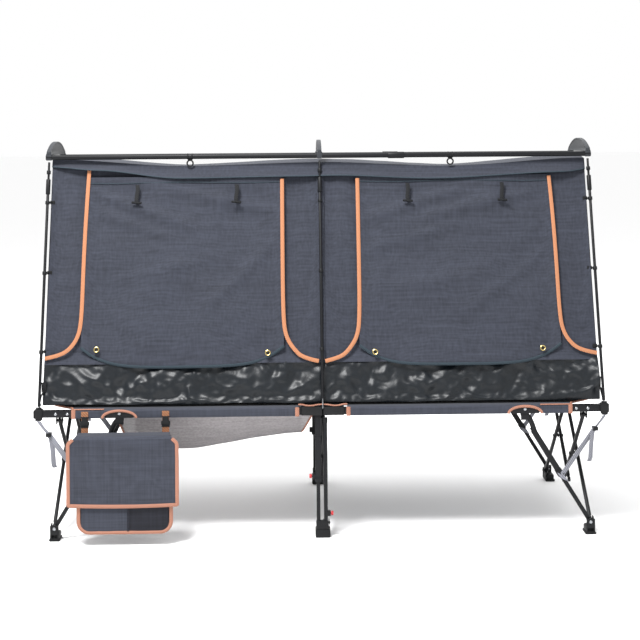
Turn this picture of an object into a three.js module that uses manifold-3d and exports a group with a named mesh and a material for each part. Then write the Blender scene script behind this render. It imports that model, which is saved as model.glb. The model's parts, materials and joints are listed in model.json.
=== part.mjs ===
// A folding camp bed on scissor legs, with a tent hung inside three folding hoops.
// Millimetres. +X runs along the bed, the front long side faces -Y, +Z is up.
import * as THREE from "three";
import { mergeVertices } from "three/addons/utils/BufferGeometryUtils.js";
import Module from "manifold-3d";

const wasm = await Module();
wasm.setup();

// ---- driving dimensions ----
const RAIL = { half: 1040, y: 410, z: 465, size: 25, joint: 78 };
const END_BLOCK = { x: 1041, width: 32, height: 35 };
const STATION_X = 980; // end scissor stations; the third one is at x = 0
const LINK = { y: 385, top: 436, foot: 46, vertex: 100, width: 20, thick: 16, apart: 22 };
const LUG = { thick: 4, width: 24, gap: 1.5 };
const FOOT = { width: 40, front: 426, back: 366, base: 30, lug: 58, x: 985 };
const STRUT = { top: 745, sleeve: 22, tube: 16, tail: 250 };
const CENTRE = { sleeveX: -18, sleeve: 22, slider: 14, postX: 9, post: 14, top: 440, low: 205 };
const BUTTON = { radius: 5, length: 9, travel: 4, housing: 12, high: 225, low: 88 };
const HOOP = { x: 1040, y: 410, z: 490, shoulderY: 160, shoulderZ: 1385, radius: 6 };
const POLE = { z: 1402, radius: 9, half: 1052 };
const CROWN = { top: 1464, foot: 1424, base: 1412, half: 172, width: 20 };
const WALL = { thick: 4, roofGap: 17, x: 1025, low: 497, high: 1376, lowY: 392, highY: 143 };
const DOOR = { inner: 145, outer: 885, low: 645, high: 1325, gap: 3 };
const DECK = { half: 1018, y: 393, z: 473, thick: 5, cut: 62 };
const SLING = { left: -745, right: -32, top: 446, low: 272, topY: 330, lowY: 110, thick: 3 };
const BAG = { left: -912, right: -538, low: 50, high: 392, back: 442, front: 496, wall: 3 };
const FLAP = { left: -925, right: -525, low: 148, high: 400, gap: 1.5, thick: 4 };
const STRAP = { width: 26, thick: 2.5, high: 478 };

// ---- finishes ----
const paint = (color, roughness, metalness) =>
  new THREE.MeshStandardMaterial({ color, roughness, metalness });
const FRAME = paint(0x2b2c30, 0.45, 0.4);
const PLASTIC = paint(0x1b1c1f, 0.5, 0);
const CANVAS = paint(0x5a5e68, 0.9, 0);
const HOOD = paint(0x8c8f96, 0.7, 0);
const MESH = paint(0xb8b5b8, 0.9, 0);
const WEBBING = paint(0xb0917c, 0.9, 0);
const RED = paint(0xd8363a, 0.4, 0);

const cot = new THREE.Group();

function add(name, geometry, material) {
  const mesh = new THREE.Mesh(geometry, material);
  mesh.name = name;
  cot.add(mesh);
}

// ---- solid helpers ----
function solid(geometry) {
  const clean = geometry.clone();
  clean.deleteAttribute("normal");
  clean.deleteAttribute("uv");
  const merged = mergeVertices(clean, 1e-4);
  const vertProperties = new Float32Array(merged.attributes.position.array);
  const triVerts = new Uint32Array(merged.index.array);
  return new wasm.Manifold(new wasm.Mesh({ numProp: 3, vertProperties, triVerts }));
}

function geometryOf(manifold) {
  const mesh = manifold.getMesh();
  const geometry = new THREE.BufferGeometry();
  geometry.setAttribute("position", new THREE.BufferAttribute(mesh.vertProperties, 3));
  geometry.setIndex(new THREE.BufferAttribute(mesh.triVerts, 1));
  geometry.computeVertexNormals();
  return geometry;
}

const join = (...pieces) => geometryOf(pieces.map(solid).reduce((a, b) => a.add(b)));
const cut = (piece, ...tools) =>
  geometryOf(tools.map(solid).reduce((a, b) => a.subtract(b), solid(piece)));

// A box given by its low and high corners.
function box(low, high) {
  const size = high.map((value, i) => value - low[i]);
  const middle = high.map((value, i) => (value + low[i]) / 2);
  return new THREE.BoxGeometry(...size).translate(...middle);
}

// A straight round bar between two points.
function rod(from, to, radius, sides = 12) {
  const a = new THREE.Vector3(...from);
  const b = new THREE.Vector3(...to);
  const turn = new THREE.Quaternion().setFromUnitVectors(
    new THREE.Vector3(0, 1, 0), b.clone().sub(a).normalize());
  const bar = new THREE.CylinderGeometry(radius, radius, a.distanceTo(b), sides);
  return bar.applyQuaternion(turn).translate(...a.add(b).multiplyScalar(0.5).toArray());
}

// A flat bar with round ends in a plane across X, from (y, z) to (y, z).
function linkBar(from, to, x) {
  const [length, angle] = [
    Math.hypot(to[0] - from[0], to[1] - from[1]),
    Math.atan2(to[1] - from[1], to[0] - from[0]),
  ];
  const half = LINK.width / 2;
  const outline = new THREE.Shape();
  outline.absarc(length, 0, half, -Math.PI / 2, Math.PI / 2);
  outline.absarc(0, 0, half, Math.PI / 2, (3 * Math.PI) / 2);
  const bar = new THREE.ExtrudeGeometry(outline, {
    depth: LINK.thick, bevelEnabled: false, curveSegments: 8,
  });
  bar.translate(0, 0, -LINK.thick / 2).rotateZ(angle);
  return acrossX(bar).translate(x, from[0], from[1]);
}

// Turns a shape drawn in XY and extruded along Z into one drawn in YZ along X.
function acrossX(geometry) {
  const turn = new THREE.Matrix4().set(0, 0, 1, 0, 1, 0, 0, 0, 0, 1, 0, 0, 0, 0, 0, 1);
  return geometry.applyMatrix4(turn);
}

function polygonAlongX(points, low, high) {
  const outline = new THREE.Shape(points.map(([y, z]) => new THREE.Vector2(y, z)));
  const bar = new THREE.ExtrudeGeometry(outline, { depth: high - low, bevelEnabled: false });
  return acrossX(bar).translate(low, 0, 0);
}

// ---- the two long sides ----
// front = -1 for the front side, +1 for the back one; side = -1 left, +1 right.
function railGeometry(front, side) {
  const half = RAIL.size / 2;
  const y = front * RAIL.y;
  const span = (near, far) => [Math.min(side * near, side * far), Math.max(side * near, side * far)];
  const across = (near, far) => [Math.min(front * near, front * far), Math.max(front * near, front * far)];
  const bar = (xs, ys, low, high) => box([xs[0], ys[0], low], [xs[1], ys[1], high]);
  const tube = bar(span(4, RAIL.half), across(RAIL.y - half, RAIL.y + half),
    RAIL.z - half, RAIL.z + half);
  const cap = bar(span(END_BLOCK.x - END_BLOCK.width / 2, END_BLOCK.x + END_BLOCK.width / 2),
    across(RAIL.y - END_BLOCK.width / 2, RAIL.y + END_BLOCK.width / 2),
    RAIL.z - END_BLOCK.height / 2, RAIL.z + END_BLOCK.height / 2);
  const socket = bar(span(HOOP.x - 12, HOOP.x + 12), across(HOOP.y - 12, HOOP.y + 12),
    RAIL.z, HOOP.z - HOOP.radius - 3);
  const lugs = [railLug(front, side * STATION_X, side)];
  if (side === front) lugs.push(railLug(front, 0, 1));
  const strutLug = bar(span(STRUT.top - 20, STRUT.top + 20),
    across(RAIL.y + half - LUG.thick, RAIL.y + half), LINK.top - 13, RAIL.z);
  return join(tube, cap, socket, strutLug, ...lugs);
}

// The plate that carries a scissor link's upper pivot, on the link's outer face.
function railLug(front, x, side) {
  const inner = LINK.apart / 2 + LINK.thick / 2 + LUG.gap;
  const reach = side * front * inner;
  const xs = [x + Math.min(reach, reach + Math.sign(reach) * LUG.thick),
    x + Math.max(reach, reach + Math.sign(reach) * LUG.thick)];
  const root = RAIL.y - RAIL.size / 2 + 1;
  const ys = [front * (LINK.y - LUG.width / 2), front * root].sort((a, b) => a - b);
  return box([xs[0], ys[0], LINK.top - 12], [xs[1], ys[1], RAIL.z]);
}

function centreJoint(front) {
  const half = RAIL.size / 2;
  const outer = RAIL.y + half + 4.5;
  const inner = RAIL.y + half + 0.4;
  const plate = (near, far, x, low, high) => {
    const ys = [front * near, front * far].sort((a, b) => a - b);
    return box([-x, ys[0], low], [x, ys[1], high]);
  };
  const face = plate(inner, outer, RAIL.joint, RAIL.z - 16, RAIL.z + 17);
  const top = plate(RAIL.y - half - 4, outer, RAIL.joint, RAIL.z + half + 0.4, RAIL.z + 17);
  const socket = plate(HOOP.y - 12, HOOP.y + 12, 12, RAIL.z + half + 1, HOOP.z - HOOP.radius - 3);
  return join(face, top, socket);
}

function buildSides() {
  for (const [front, sideName] of [[-1, "front"], [1, "back"]]) {
    for (const [side, endName] of [[-1, "left"], [1, "right"]]) {
      add(`${sideName}_rail_${endName}`, railGeometry(front, side), FRAME);
    }
    add(`${sideName}_centre_joint`, centreJoint(front), PLASTIC);
  }
}

// ---- the scissor links ----
// Down links run from a rail to the low vertex, up links from a foot to the high apex.
function buildLinks() {
  const rise = LINK.top - LINK.vertex;
  const apex = LINK.foot + rise;
  const stations = [["left", -STATION_X, -1], ["centre", 0, 1], ["right", STATION_X, 1]];
  for (const [name, x, side] of stations) {
    const inside = x - (side * LINK.apart) / 2;
    const outside = x + (side * LINK.apart) / 2;
    add(`front_down_link_${name}`, linkBar([-LINK.y, LINK.top], [0, LINK.vertex], inside), FRAME);
    add(`back_down_link_${name}`, linkBar([LINK.y, LINK.top], [0, LINK.vertex], outside), FRAME);
    add(`front_up_link_${name}`, linkBar([-LINK.y, LINK.foot], [0, apex], outside), FRAME);
    add(`back_up_link_${name}`, linkBar([LINK.y, LINK.foot], [0, apex], inside), FRAME);
  }
}

// ---- feet ----
function footGeometry(front, side) {
  const x = side * FOOT.x;
  const ys = (near, far) => [front * near, front * far].sort((a, b) => a - b);
  const [y0, y1] = ys(FOOT.back, FOOT.front);
  const base = box([x - FOOT.width / 2, y0, 0], [x + FOOT.width / 2, y1, FOOT.base]);
  const [f0, f1] = ys(FOOT.front - LUG.thick, FOOT.front);
  const strutLug = box([x - FOOT.width / 2, f0, 0], [x + FOOT.width / 2, f1, FOOT.lug]);
  const linkFace = side * (STATION_X - (front * LINK.apart) / 2 + LINK.thick / 2 + LUG.gap);
  const xs = [linkFace, linkFace + side * LUG.thick].sort((a, b) => a - b);
  const [l0, l1] = ys(LINK.y - LUG.width / 2, LINK.y + 8);
  const linkLug = box([xs[0], l0, 12], [xs[1], l1, FOOT.lug]);
  return join(base, strutLug, linkLug);
}

function centreLegGeometry(front) {
  const ys = (near, far) => [front * near, front * far].sort((a, b) => a - b);
  const half = (width) => ys(RAIL.y - width / 2, RAIL.y + width / 2);
  const [y0, y1] = ys(FOOT.back, FOOT.front - 4);
  const base = box([CENTRE.sleeveX - 12, y0, 0], [CENTRE.postX + 16, y1, FOOT.base]);
  const [s0, s1] = half(CENTRE.slider);
  const column = (x, width, top) =>
    box([x - width / 2, s0, FOOT.base - 5], [x + width / 2, s1, top]);
  const slider = column(CENTRE.sleeveX, CENTRE.slider, CENTRE.top - 8);
  const post = column(CENTRE.postX, CENTRE.post, CENTRE.top);
  const [h0, h1] = half(20);
  const inner = CENTRE.postX + CENTRE.post / 2 - 1;
  const housing = box([inner, h0, BUTTON.low - 10], [inner + BUTTON.housing, h1, BUTTON.low + 10]);
  const reach = -front * (LINK.apart / 2 + LINK.thick / 2 + LUG.gap);
  const xs = [reach, reach + Math.sign(reach) * LUG.thick].sort((a, b) => a - b);
  const [l0, l1] = ys(LINK.y - LUG.width / 2, LINK.y + 8);
  const linkLug = box([xs[0], l0, 12], [xs[1], l1, FOOT.lug]);
  const bore = rod([inner + 2, front * RAIL.y, BUTTON.low],
    [inner + BUTTON.housing + 1, front * RAIL.y, BUTTON.low], BUTTON.radius + 0.5);
  return cut(join(base, slider, post, housing, linkLug), bore);
}

function buildFeet() {
  for (const [front, sideName] of [[-1, "front"], [1, "back"]]) {
    add(`${sideName}_foot_left`, footGeometry(front, -1), PLASTIC);
    add(`${sideName}_foot_right`, footGeometry(front, 1), PLASTIC);
    add(`${sideName}_centre_leg`, centreLegGeometry(front), FRAME);
  }
}

// ---- centre sleeves and their push buttons ----
function centreSleeve(front) {
  const y = front * RAIL.y;
  const shell = (half, low, high) => box([CENTRE.sleeveX - half, y - half, low],
    [CENTRE.sleeveX + half, y + half, high]);
  const outer = CENTRE.sleeve / 2;
  const left = CENTRE.sleeveX - outer;
  const housing = box([left - BUTTON.housing, y - 10, BUTTON.high - 11],
    [left + 1, y + 10, BUTTON.high + 11]);
  const bore = rod([left - BUTTON.housing - 1, y, BUTTON.high], [left - 1.5, y, BUTTON.high],
    BUTTON.radius + 0.5);
  const hollow = shell(CENTRE.slider / 2 + 0.6, CENTRE.low - 5, CENTRE.top + 15);
  return cut(join(shell(outer, CENTRE.low, CENTRE.top + 12), housing), hollow, bore);
}

function buildCentreLocks() {
  for (const [front, sideName] of [[-1, "front"], [1, "back"]]) {
    add(`${sideName}_centre_sleeve`, centreSleeve(front), FRAME);
  }
  const y = -RAIL.y;
  const high = CENTRE.sleeveX - CENTRE.sleeve / 2 - BUTTON.housing;
  const low = CENTRE.postX + CENTRE.post / 2 - 1 + BUTTON.housing;
  const stem = BUTTON.length - BUTTON.travel;
  add("sleeve_button", rod([high - BUTTON.travel, y, BUTTON.high], [high + stem, y, BUTTON.high],
    BUTTON.radius), RED);
  add("leg_button", rod([low - stem, y, BUTTON.low], [low + BUTTON.travel, y, BUTTON.low],
    BUTTON.radius), RED);
}

// ---- telescoping side struts ----
function strutGeometries(front, side) {
  const y = front * RAIL.y;
  const top = new THREE.Vector3(side * STRUT.top, y, LINK.top);
  const foot = new THREE.Vector3(side * FOOT.x, y, LINK.foot);
  const length = top.distanceTo(foot);
  const angle = Math.atan2(foot.x - top.x, top.z - foot.z);
  const bar = (width, from, to) => box([-width / 2, -width / 2, -to], [width / 2, width / 2, -from]);
  const place = (geometry) => geometry.rotateY(-angle).translate(...top.toArray());
  const eye = rod([0, -8, 0], [0, 8, 0], STRUT.sleeve / 2, 16);
  const sleeve = cut(join(bar(STRUT.tube, 0, 30), bar(STRUT.sleeve, 24, STRUT.tail), eye),
    bar(STRUT.tube + 1.2, 40, STRUT.tail + 5));
  const lowEye = rod([0, -8, -length], [0, 8, -length], STRUT.tube / 2 + 1, 16);
  const tube = join(bar(STRUT.tube, 46, length), lowEye);
  return [place(sleeve), place(tube)];
}

function buildStruts() {
  for (const [front, sideName] of [[-1, "front"], [1, "back"]]) {
    for (const [side, endName] of [[-1, "left"], [1, "right"]]) {
      const [sleeve, tube] = strutGeometries(front, side);
      add(`${sideName}_strut_sleeve_${endName}`, sleeve, FRAME);
      add(`${sideName}_strut_tube_${endName}`, tube, FRAME);
    }
  }
}

// ---- hoops, shoulder poles and crowns ----
function crownPlate(x) {
  const { top, foot, base, half, width } = CROWN;
  const rise = top - foot;
  const radius = (half * half + rise * rise) / (2 * rise);
  const swing = Math.asin(half / radius);
  const outline = new THREE.Shape();
  outline.absarc(0, top - radius, radius, Math.PI / 2 - swing, Math.PI / 2 + swing);
  outline.lineTo(-half, base);
  outline.lineTo(half, base);
  const plate = new THREE.ExtrudeGeometry(outline, {
    depth: width, bevelEnabled: false, curveSegments: 14,
  });
  return acrossX(plate).translate(x - width / 2, 0, 0);
}

function buildHoops() {
  for (const [name, x] of [["left", -HOOP.x], ["centre", 0], ["right", HOOP.x]]) {
    for (const [front, sideName] of [[-1, "front"], [1, "back"]]) {
      const leg = rod([x, front * HOOP.y, HOOP.z], [x, front * HOOP.shoulderY, HOOP.shoulderZ],
        HOOP.radius);
      add(`${sideName}_hoop_leg_${name}`, leg, FRAME);
    }
    add(`crown_${name}`, crownPlate(x), HOOD);
  }
  for (const [front, sideName] of [[-1, "front"], [1, "back"]]) {
    const y = front * HOOP.shoulderY;
    add(`${sideName}_shoulder_pole`, rod([-POLE.half, y, POLE.z], [POLE.half, y, POLE.z],
      POLE.radius), FRAME);
  }
}

// ---- tent ----
// Draws in wall coordinates: x along the bed, and height measured straight up.
function wallPanel(front, outline, thick = WALL.thick) {
  const shape = new THREE.Shape(outline.map(([x, z]) => new THREE.Vector2(x, z)));
  const slab = new THREE.ExtrudeGeometry(shape, { depth: thick, bevelEnabled: false });
  const lean = (WALL.lowY - WALL.highY) / (WALL.high - WALL.low);
  const turn = new THREE.Matrix4().set(
    1, 0, 0, 0,
    0, -front * lean, front, front * (WALL.lowY + WALL.low * lean - thick / 2),
    0, 1, 0, 0,
    0, 0, 0, 1);
  slab.applyMatrix4(turn);
  if (turn.determinant() < 0) flipFaces(slab);
  return slab;
}

function flipFaces(geometry) {
  const position = geometry.attributes.position;
  const point = [new THREE.Vector3(), new THREE.Vector3()];
  for (let i = 0; i < position.count; i += 3) {
    point[0].fromBufferAttribute(position, i);
    point[1].fromBufferAttribute(position, i + 1);
    position.setXYZ(i, ...point[1].toArray());
    position.setXYZ(i + 1, ...point[0].toArray());
  }
  geometry.computeVertexNormals();
}

const rectangle = (x0, z0, x1, z1) => [[x0, z0], [x1, z0], [x1, z1], [x0, z1]];

function buildTent() {
  const { x, low, high } = WALL;
  const whole = rectangle(-x, low, x, high);
  const doorways = [-1, 1].map((side) => {
    const [x0, x1] = [side * DOOR.inner, side * DOOR.outer].sort((a, b) => a - b);
    return wallPanel(-1, rectangle(x0, DOOR.low, x1, DOOR.high), 3 * WALL.thick);
  });
  add("tent_front_wall", cut(wallPanel(-1, whole), ...doorways), CANVAS);
  add("tent_back_wall", wallPanel(1, whole), CANVAS);
  for (const [side, name] of [[-1, "left"], [1, "right"]]) {
    const [x0, x1] = [side * (DOOR.inner + DOOR.gap), side * (DOOR.outer - DOOR.gap)]
      .sort((a, b) => a - b);
    const door = rectangle(x0, DOOR.low + DOOR.gap, x1, DOOR.high - DOOR.gap);
    add(`tent_door_${name}`, wallPanel(-1, door), CANVAS);
    add(`tent_end_wall_${name}`, endWall(side), CANVAS);
  }
  const eave = WALL.highY - WALL.roofGap;
  add("tent_roof", box([-x, -eave, high + 2], [x, eave, high + 2 + WALL.thick]), CANVAS);
}

function endWall(side) {
  const gap = 6;
  const { low, high, lowY, highY } = WALL;
  const trapezoid = [[-lowY + gap, low], [lowY - gap, low], [highY - gap, high], [-highY + gap, high]];
  const near = side * (WALL.x - 8);
  const [x0, x1] = [near, near + side * WALL.thick].sort((a, b) => a - b);
  return polygonAlongX(trapezoid, x0, x1);
}

// ---- deck, gear sling and bag ----
function deckGeometry() {
  const { half, y, cut: corner } = DECK;
  const narrow = y - 22;
  const outline = new THREE.Shape([
    [-half, -narrow], [-half + corner, -y], [half - corner, -y], [half, -narrow],
    [half, narrow], [half - corner, y], [-half + corner, y], [-half, narrow],
  ].map(([px, py]) => new THREE.Vector2(px, py)));
  const slab = new THREE.ExtrudeGeometry(outline, { depth: DECK.thick, bevelEnabled: false });
  return slab.translate(0, 0, DECK.z - DECK.thick / 2);
}

function slingGeometry() {
  const { top, low, topY, lowY, thick } = SLING;
  const trough = [
    [-topY, top], [-lowY, low], [lowY, low], [topY, top],
    [topY - thick, top], [lowY - thick, low + thick], [-lowY + thick, low + thick],
    [-topY + thick, top],
  ];
  return polygonAlongX(trough, SLING.left, SLING.right);
}

function buildSoftGoods() {
  add("bed_deck", deckGeometry(), CANVAS);
  add("gear_sling", slingGeometry(), MESH);
  const body = box([BAG.left, -BAG.front, BAG.low], [BAG.right, -BAG.back, BAG.high]);
  const inside = box([BAG.left + BAG.wall, -BAG.front + BAG.wall, BAG.low + BAG.wall],
    [BAG.right - BAG.wall, -BAG.back - BAG.wall, BAG.high + 5]);
  add("bag_body", cut(body, inside), CANVAS);
  const flapBack = -BAG.front - FLAP.gap;
  const lid = box([FLAP.left, flapBack - FLAP.thick, BAG.high + 4], [FLAP.right, -BAG.back, FLAP.high]);
  const front = box([FLAP.left, flapBack - FLAP.thick, FLAP.low], [FLAP.right, flapBack, FLAP.high]);
  add("bag_flap", join(lid, front), CANVAS);
  for (const [name, x] of [["left", -870], ["right", -575]]) {
    const [x0, x1] = [x - STRAP.width / 2, x + STRAP.width / 2];
    const back = -RAIL.y - RAIL.size / 2 - 6;
    add(`bag_strap_${name}`, box([x0, back - STRAP.thick, BAG.high - 60], [x1, back, STRAP.high]),
      WEBBING);
  }
}

buildSides();
buildLinks();
buildFeet();
buildCentreLocks();
buildStruts();
buildHoops();
buildTent();
buildSoftGoods();

// The origin is the middle of the whole object's footprint, on the floor.
const extent = new THREE.Box3().setFromObject(cot);
const middle = extent.getCenter(new THREE.Vector3());
cot.position.set(-middle.x, -middle.y, -extent.min.z);

export default cot;
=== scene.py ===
"""Looks of a folding camp bed on scissor legs, with a tent hung inside three folding hoops.

Metres, +X along the bed, -Y the front long side, +Z up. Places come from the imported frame: its node
boxes and its joint pivots.
"""
from __future__ import annotations

import json
import logging
import math
from dataclasses import dataclass
from enum import Enum
from typing import Callable, Sequence

import bpy
from mathutils import Vector, noise
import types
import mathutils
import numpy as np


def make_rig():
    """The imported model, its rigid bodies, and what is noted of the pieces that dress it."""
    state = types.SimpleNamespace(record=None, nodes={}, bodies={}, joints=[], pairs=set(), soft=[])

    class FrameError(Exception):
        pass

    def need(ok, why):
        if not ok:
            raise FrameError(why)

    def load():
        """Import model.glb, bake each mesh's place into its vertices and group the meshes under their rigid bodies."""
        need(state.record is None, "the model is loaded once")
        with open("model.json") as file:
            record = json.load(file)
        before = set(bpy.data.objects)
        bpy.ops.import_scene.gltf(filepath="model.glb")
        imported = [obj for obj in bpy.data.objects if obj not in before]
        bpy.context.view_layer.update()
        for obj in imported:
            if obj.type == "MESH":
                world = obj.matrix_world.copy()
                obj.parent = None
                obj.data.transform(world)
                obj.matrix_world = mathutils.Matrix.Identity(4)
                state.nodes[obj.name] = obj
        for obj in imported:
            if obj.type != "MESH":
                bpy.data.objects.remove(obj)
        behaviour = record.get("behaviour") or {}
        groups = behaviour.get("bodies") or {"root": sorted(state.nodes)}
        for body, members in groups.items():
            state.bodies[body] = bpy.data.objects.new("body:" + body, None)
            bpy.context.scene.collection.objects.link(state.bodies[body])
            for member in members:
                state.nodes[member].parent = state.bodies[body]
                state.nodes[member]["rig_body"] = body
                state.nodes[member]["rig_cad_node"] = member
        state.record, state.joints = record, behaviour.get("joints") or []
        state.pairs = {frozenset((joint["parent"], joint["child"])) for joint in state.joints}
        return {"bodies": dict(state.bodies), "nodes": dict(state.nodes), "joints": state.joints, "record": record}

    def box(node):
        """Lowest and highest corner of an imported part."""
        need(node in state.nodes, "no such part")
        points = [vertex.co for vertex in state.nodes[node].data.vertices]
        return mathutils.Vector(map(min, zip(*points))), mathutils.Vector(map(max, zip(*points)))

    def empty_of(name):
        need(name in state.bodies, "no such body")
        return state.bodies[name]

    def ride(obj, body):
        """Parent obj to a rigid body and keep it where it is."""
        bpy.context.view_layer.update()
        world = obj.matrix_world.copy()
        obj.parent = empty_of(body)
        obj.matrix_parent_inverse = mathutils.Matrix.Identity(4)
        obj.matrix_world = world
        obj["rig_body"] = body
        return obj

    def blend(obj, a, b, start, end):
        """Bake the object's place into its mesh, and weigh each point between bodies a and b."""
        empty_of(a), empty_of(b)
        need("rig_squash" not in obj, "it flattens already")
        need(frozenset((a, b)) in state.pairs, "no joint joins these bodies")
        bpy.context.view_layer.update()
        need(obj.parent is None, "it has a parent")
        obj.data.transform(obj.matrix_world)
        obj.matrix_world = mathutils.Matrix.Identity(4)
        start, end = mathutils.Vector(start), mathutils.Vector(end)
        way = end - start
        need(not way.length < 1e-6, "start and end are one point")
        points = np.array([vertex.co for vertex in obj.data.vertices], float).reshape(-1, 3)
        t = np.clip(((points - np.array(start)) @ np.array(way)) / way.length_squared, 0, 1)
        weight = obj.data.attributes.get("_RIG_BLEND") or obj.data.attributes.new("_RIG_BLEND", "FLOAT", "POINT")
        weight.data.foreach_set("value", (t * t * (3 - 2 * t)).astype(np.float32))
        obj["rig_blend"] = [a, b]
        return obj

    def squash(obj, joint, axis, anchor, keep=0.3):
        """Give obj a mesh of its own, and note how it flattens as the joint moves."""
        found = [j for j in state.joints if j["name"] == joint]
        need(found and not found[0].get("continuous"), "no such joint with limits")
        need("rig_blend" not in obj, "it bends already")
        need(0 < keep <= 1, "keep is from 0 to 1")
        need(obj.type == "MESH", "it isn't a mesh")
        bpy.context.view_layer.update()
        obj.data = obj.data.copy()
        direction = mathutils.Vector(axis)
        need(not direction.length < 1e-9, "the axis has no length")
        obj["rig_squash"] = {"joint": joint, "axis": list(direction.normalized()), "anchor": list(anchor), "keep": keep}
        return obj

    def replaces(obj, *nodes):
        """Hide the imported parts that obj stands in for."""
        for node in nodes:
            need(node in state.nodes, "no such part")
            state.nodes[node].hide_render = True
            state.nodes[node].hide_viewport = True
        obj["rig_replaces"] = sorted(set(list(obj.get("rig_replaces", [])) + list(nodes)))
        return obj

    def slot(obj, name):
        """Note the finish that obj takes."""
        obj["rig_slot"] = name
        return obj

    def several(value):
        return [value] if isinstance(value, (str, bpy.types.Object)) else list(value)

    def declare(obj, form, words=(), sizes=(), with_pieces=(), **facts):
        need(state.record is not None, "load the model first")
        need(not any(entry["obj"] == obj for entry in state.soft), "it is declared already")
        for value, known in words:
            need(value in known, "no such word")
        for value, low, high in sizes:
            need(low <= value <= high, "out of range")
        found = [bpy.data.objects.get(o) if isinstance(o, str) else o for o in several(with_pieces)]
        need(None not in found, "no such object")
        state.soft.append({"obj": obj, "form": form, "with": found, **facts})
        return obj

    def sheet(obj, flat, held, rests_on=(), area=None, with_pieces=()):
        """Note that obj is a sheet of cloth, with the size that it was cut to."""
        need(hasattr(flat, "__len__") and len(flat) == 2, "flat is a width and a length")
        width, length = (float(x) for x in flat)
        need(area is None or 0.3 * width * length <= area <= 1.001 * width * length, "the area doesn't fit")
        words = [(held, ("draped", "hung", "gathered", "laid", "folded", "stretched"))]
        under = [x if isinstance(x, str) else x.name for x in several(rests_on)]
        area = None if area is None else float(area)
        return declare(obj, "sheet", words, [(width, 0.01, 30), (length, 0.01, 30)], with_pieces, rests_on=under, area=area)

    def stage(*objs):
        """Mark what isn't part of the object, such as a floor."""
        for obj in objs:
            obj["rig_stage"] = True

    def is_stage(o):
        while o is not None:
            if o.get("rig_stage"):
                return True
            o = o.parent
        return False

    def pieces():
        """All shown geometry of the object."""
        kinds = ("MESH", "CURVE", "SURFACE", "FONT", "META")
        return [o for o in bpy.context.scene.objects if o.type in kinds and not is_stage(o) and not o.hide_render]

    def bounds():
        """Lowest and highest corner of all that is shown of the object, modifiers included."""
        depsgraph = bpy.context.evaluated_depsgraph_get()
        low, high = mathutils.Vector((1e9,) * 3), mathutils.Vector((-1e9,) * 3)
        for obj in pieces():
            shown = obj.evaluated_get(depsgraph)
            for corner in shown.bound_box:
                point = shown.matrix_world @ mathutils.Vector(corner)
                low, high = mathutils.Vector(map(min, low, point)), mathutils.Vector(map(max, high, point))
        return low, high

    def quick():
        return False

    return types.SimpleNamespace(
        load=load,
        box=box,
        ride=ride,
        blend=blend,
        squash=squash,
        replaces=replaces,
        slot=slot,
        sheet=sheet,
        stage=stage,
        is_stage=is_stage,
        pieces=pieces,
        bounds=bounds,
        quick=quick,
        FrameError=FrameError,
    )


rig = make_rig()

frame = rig.load()
CAD_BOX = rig.bounds()
LOG = logging.getLogger("camp_bed")
MM = 0.001
# How far a long wall leans in for each metre of height, and so the way that faces out of it.
LEAN = 0.28
OUT_OF_WALL = Vector((0, -1, LEAN))

Point = Sequence[float]
Piece = bpy.types.Object
Socket = bpy.types.NodeSocket
NodeTree = bpy.types.NodeTree


class Side(Enum):
    """The two long sides, by the sign of Y."""

    FRONT = -1
    BACK = 1

    @property
    def word(self) -> str:
        """The side's word in node and body names."""
        return self.name.lower()

    @property
    def rails(self) -> str:
        """The body of this side's rails."""
        return f"{self.word}_side"

    @property
    def hoops(self) -> str:
        """The body of this side's hoop legs."""
        return f"{self.word}_hoop_legs"

    @property
    def feet(self) -> str:
        """The body of this side's feet."""
        return f"{self.word}_feet"


class End(Enum):
    """The two ends, by the sign of X."""

    LEFT = -1
    RIGHT = 1

    @property
    def word(self) -> str:
        """The end's word in node and body names."""
        return self.name.lower()


class Surface(Enum):
    """How a surface was made, which picks its pattern."""

    WOVEN = "woven"
    RIBBED = "ribbed"
    GRAINED = "grained"
    CREASED = "creased"
    NET = "net"


# ---- materials ----
def linear(hex_code: str) -> tuple[float, float, float, float]:
    """Turns an sRGB hex colour to a linear one.

    Args:
        hex_code: Six hex digits.

    Returns:
        The linear colour with an alpha of 1.
    """
    parts = [int(hex_code[i : i + 2], 16) / 255 for i in (0, 2, 4)]
    return (*[c / 12.92 if c <= 0.04045 else ((c + 0.055) / 1.055) ** 2.4 for c in parts], 1.0)


def add_node(tree: NodeTree, kind: str, inputs: dict | None = None,
             **settings: object) -> bpy.types.Node:
    """Adds one node with its settings, values and links.

    Args:
        tree: The material's node tree.
        kind: The node's type name.
        inputs: Socket name or number to a value, or to the socket that feeds it.
        **settings: The node's own properties.

    Returns:
        The new node.
    """
    made = tree.nodes.new(kind)
    for key, value in settings.items():
        setattr(made, key, value)
    for key, value in (inputs or {}).items():
        if isinstance(value, bpy.types.NodeSocket):
            tree.links.new(value, made.inputs[key])
        else:
            made.inputs[key].default_value = value
    return made


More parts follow.
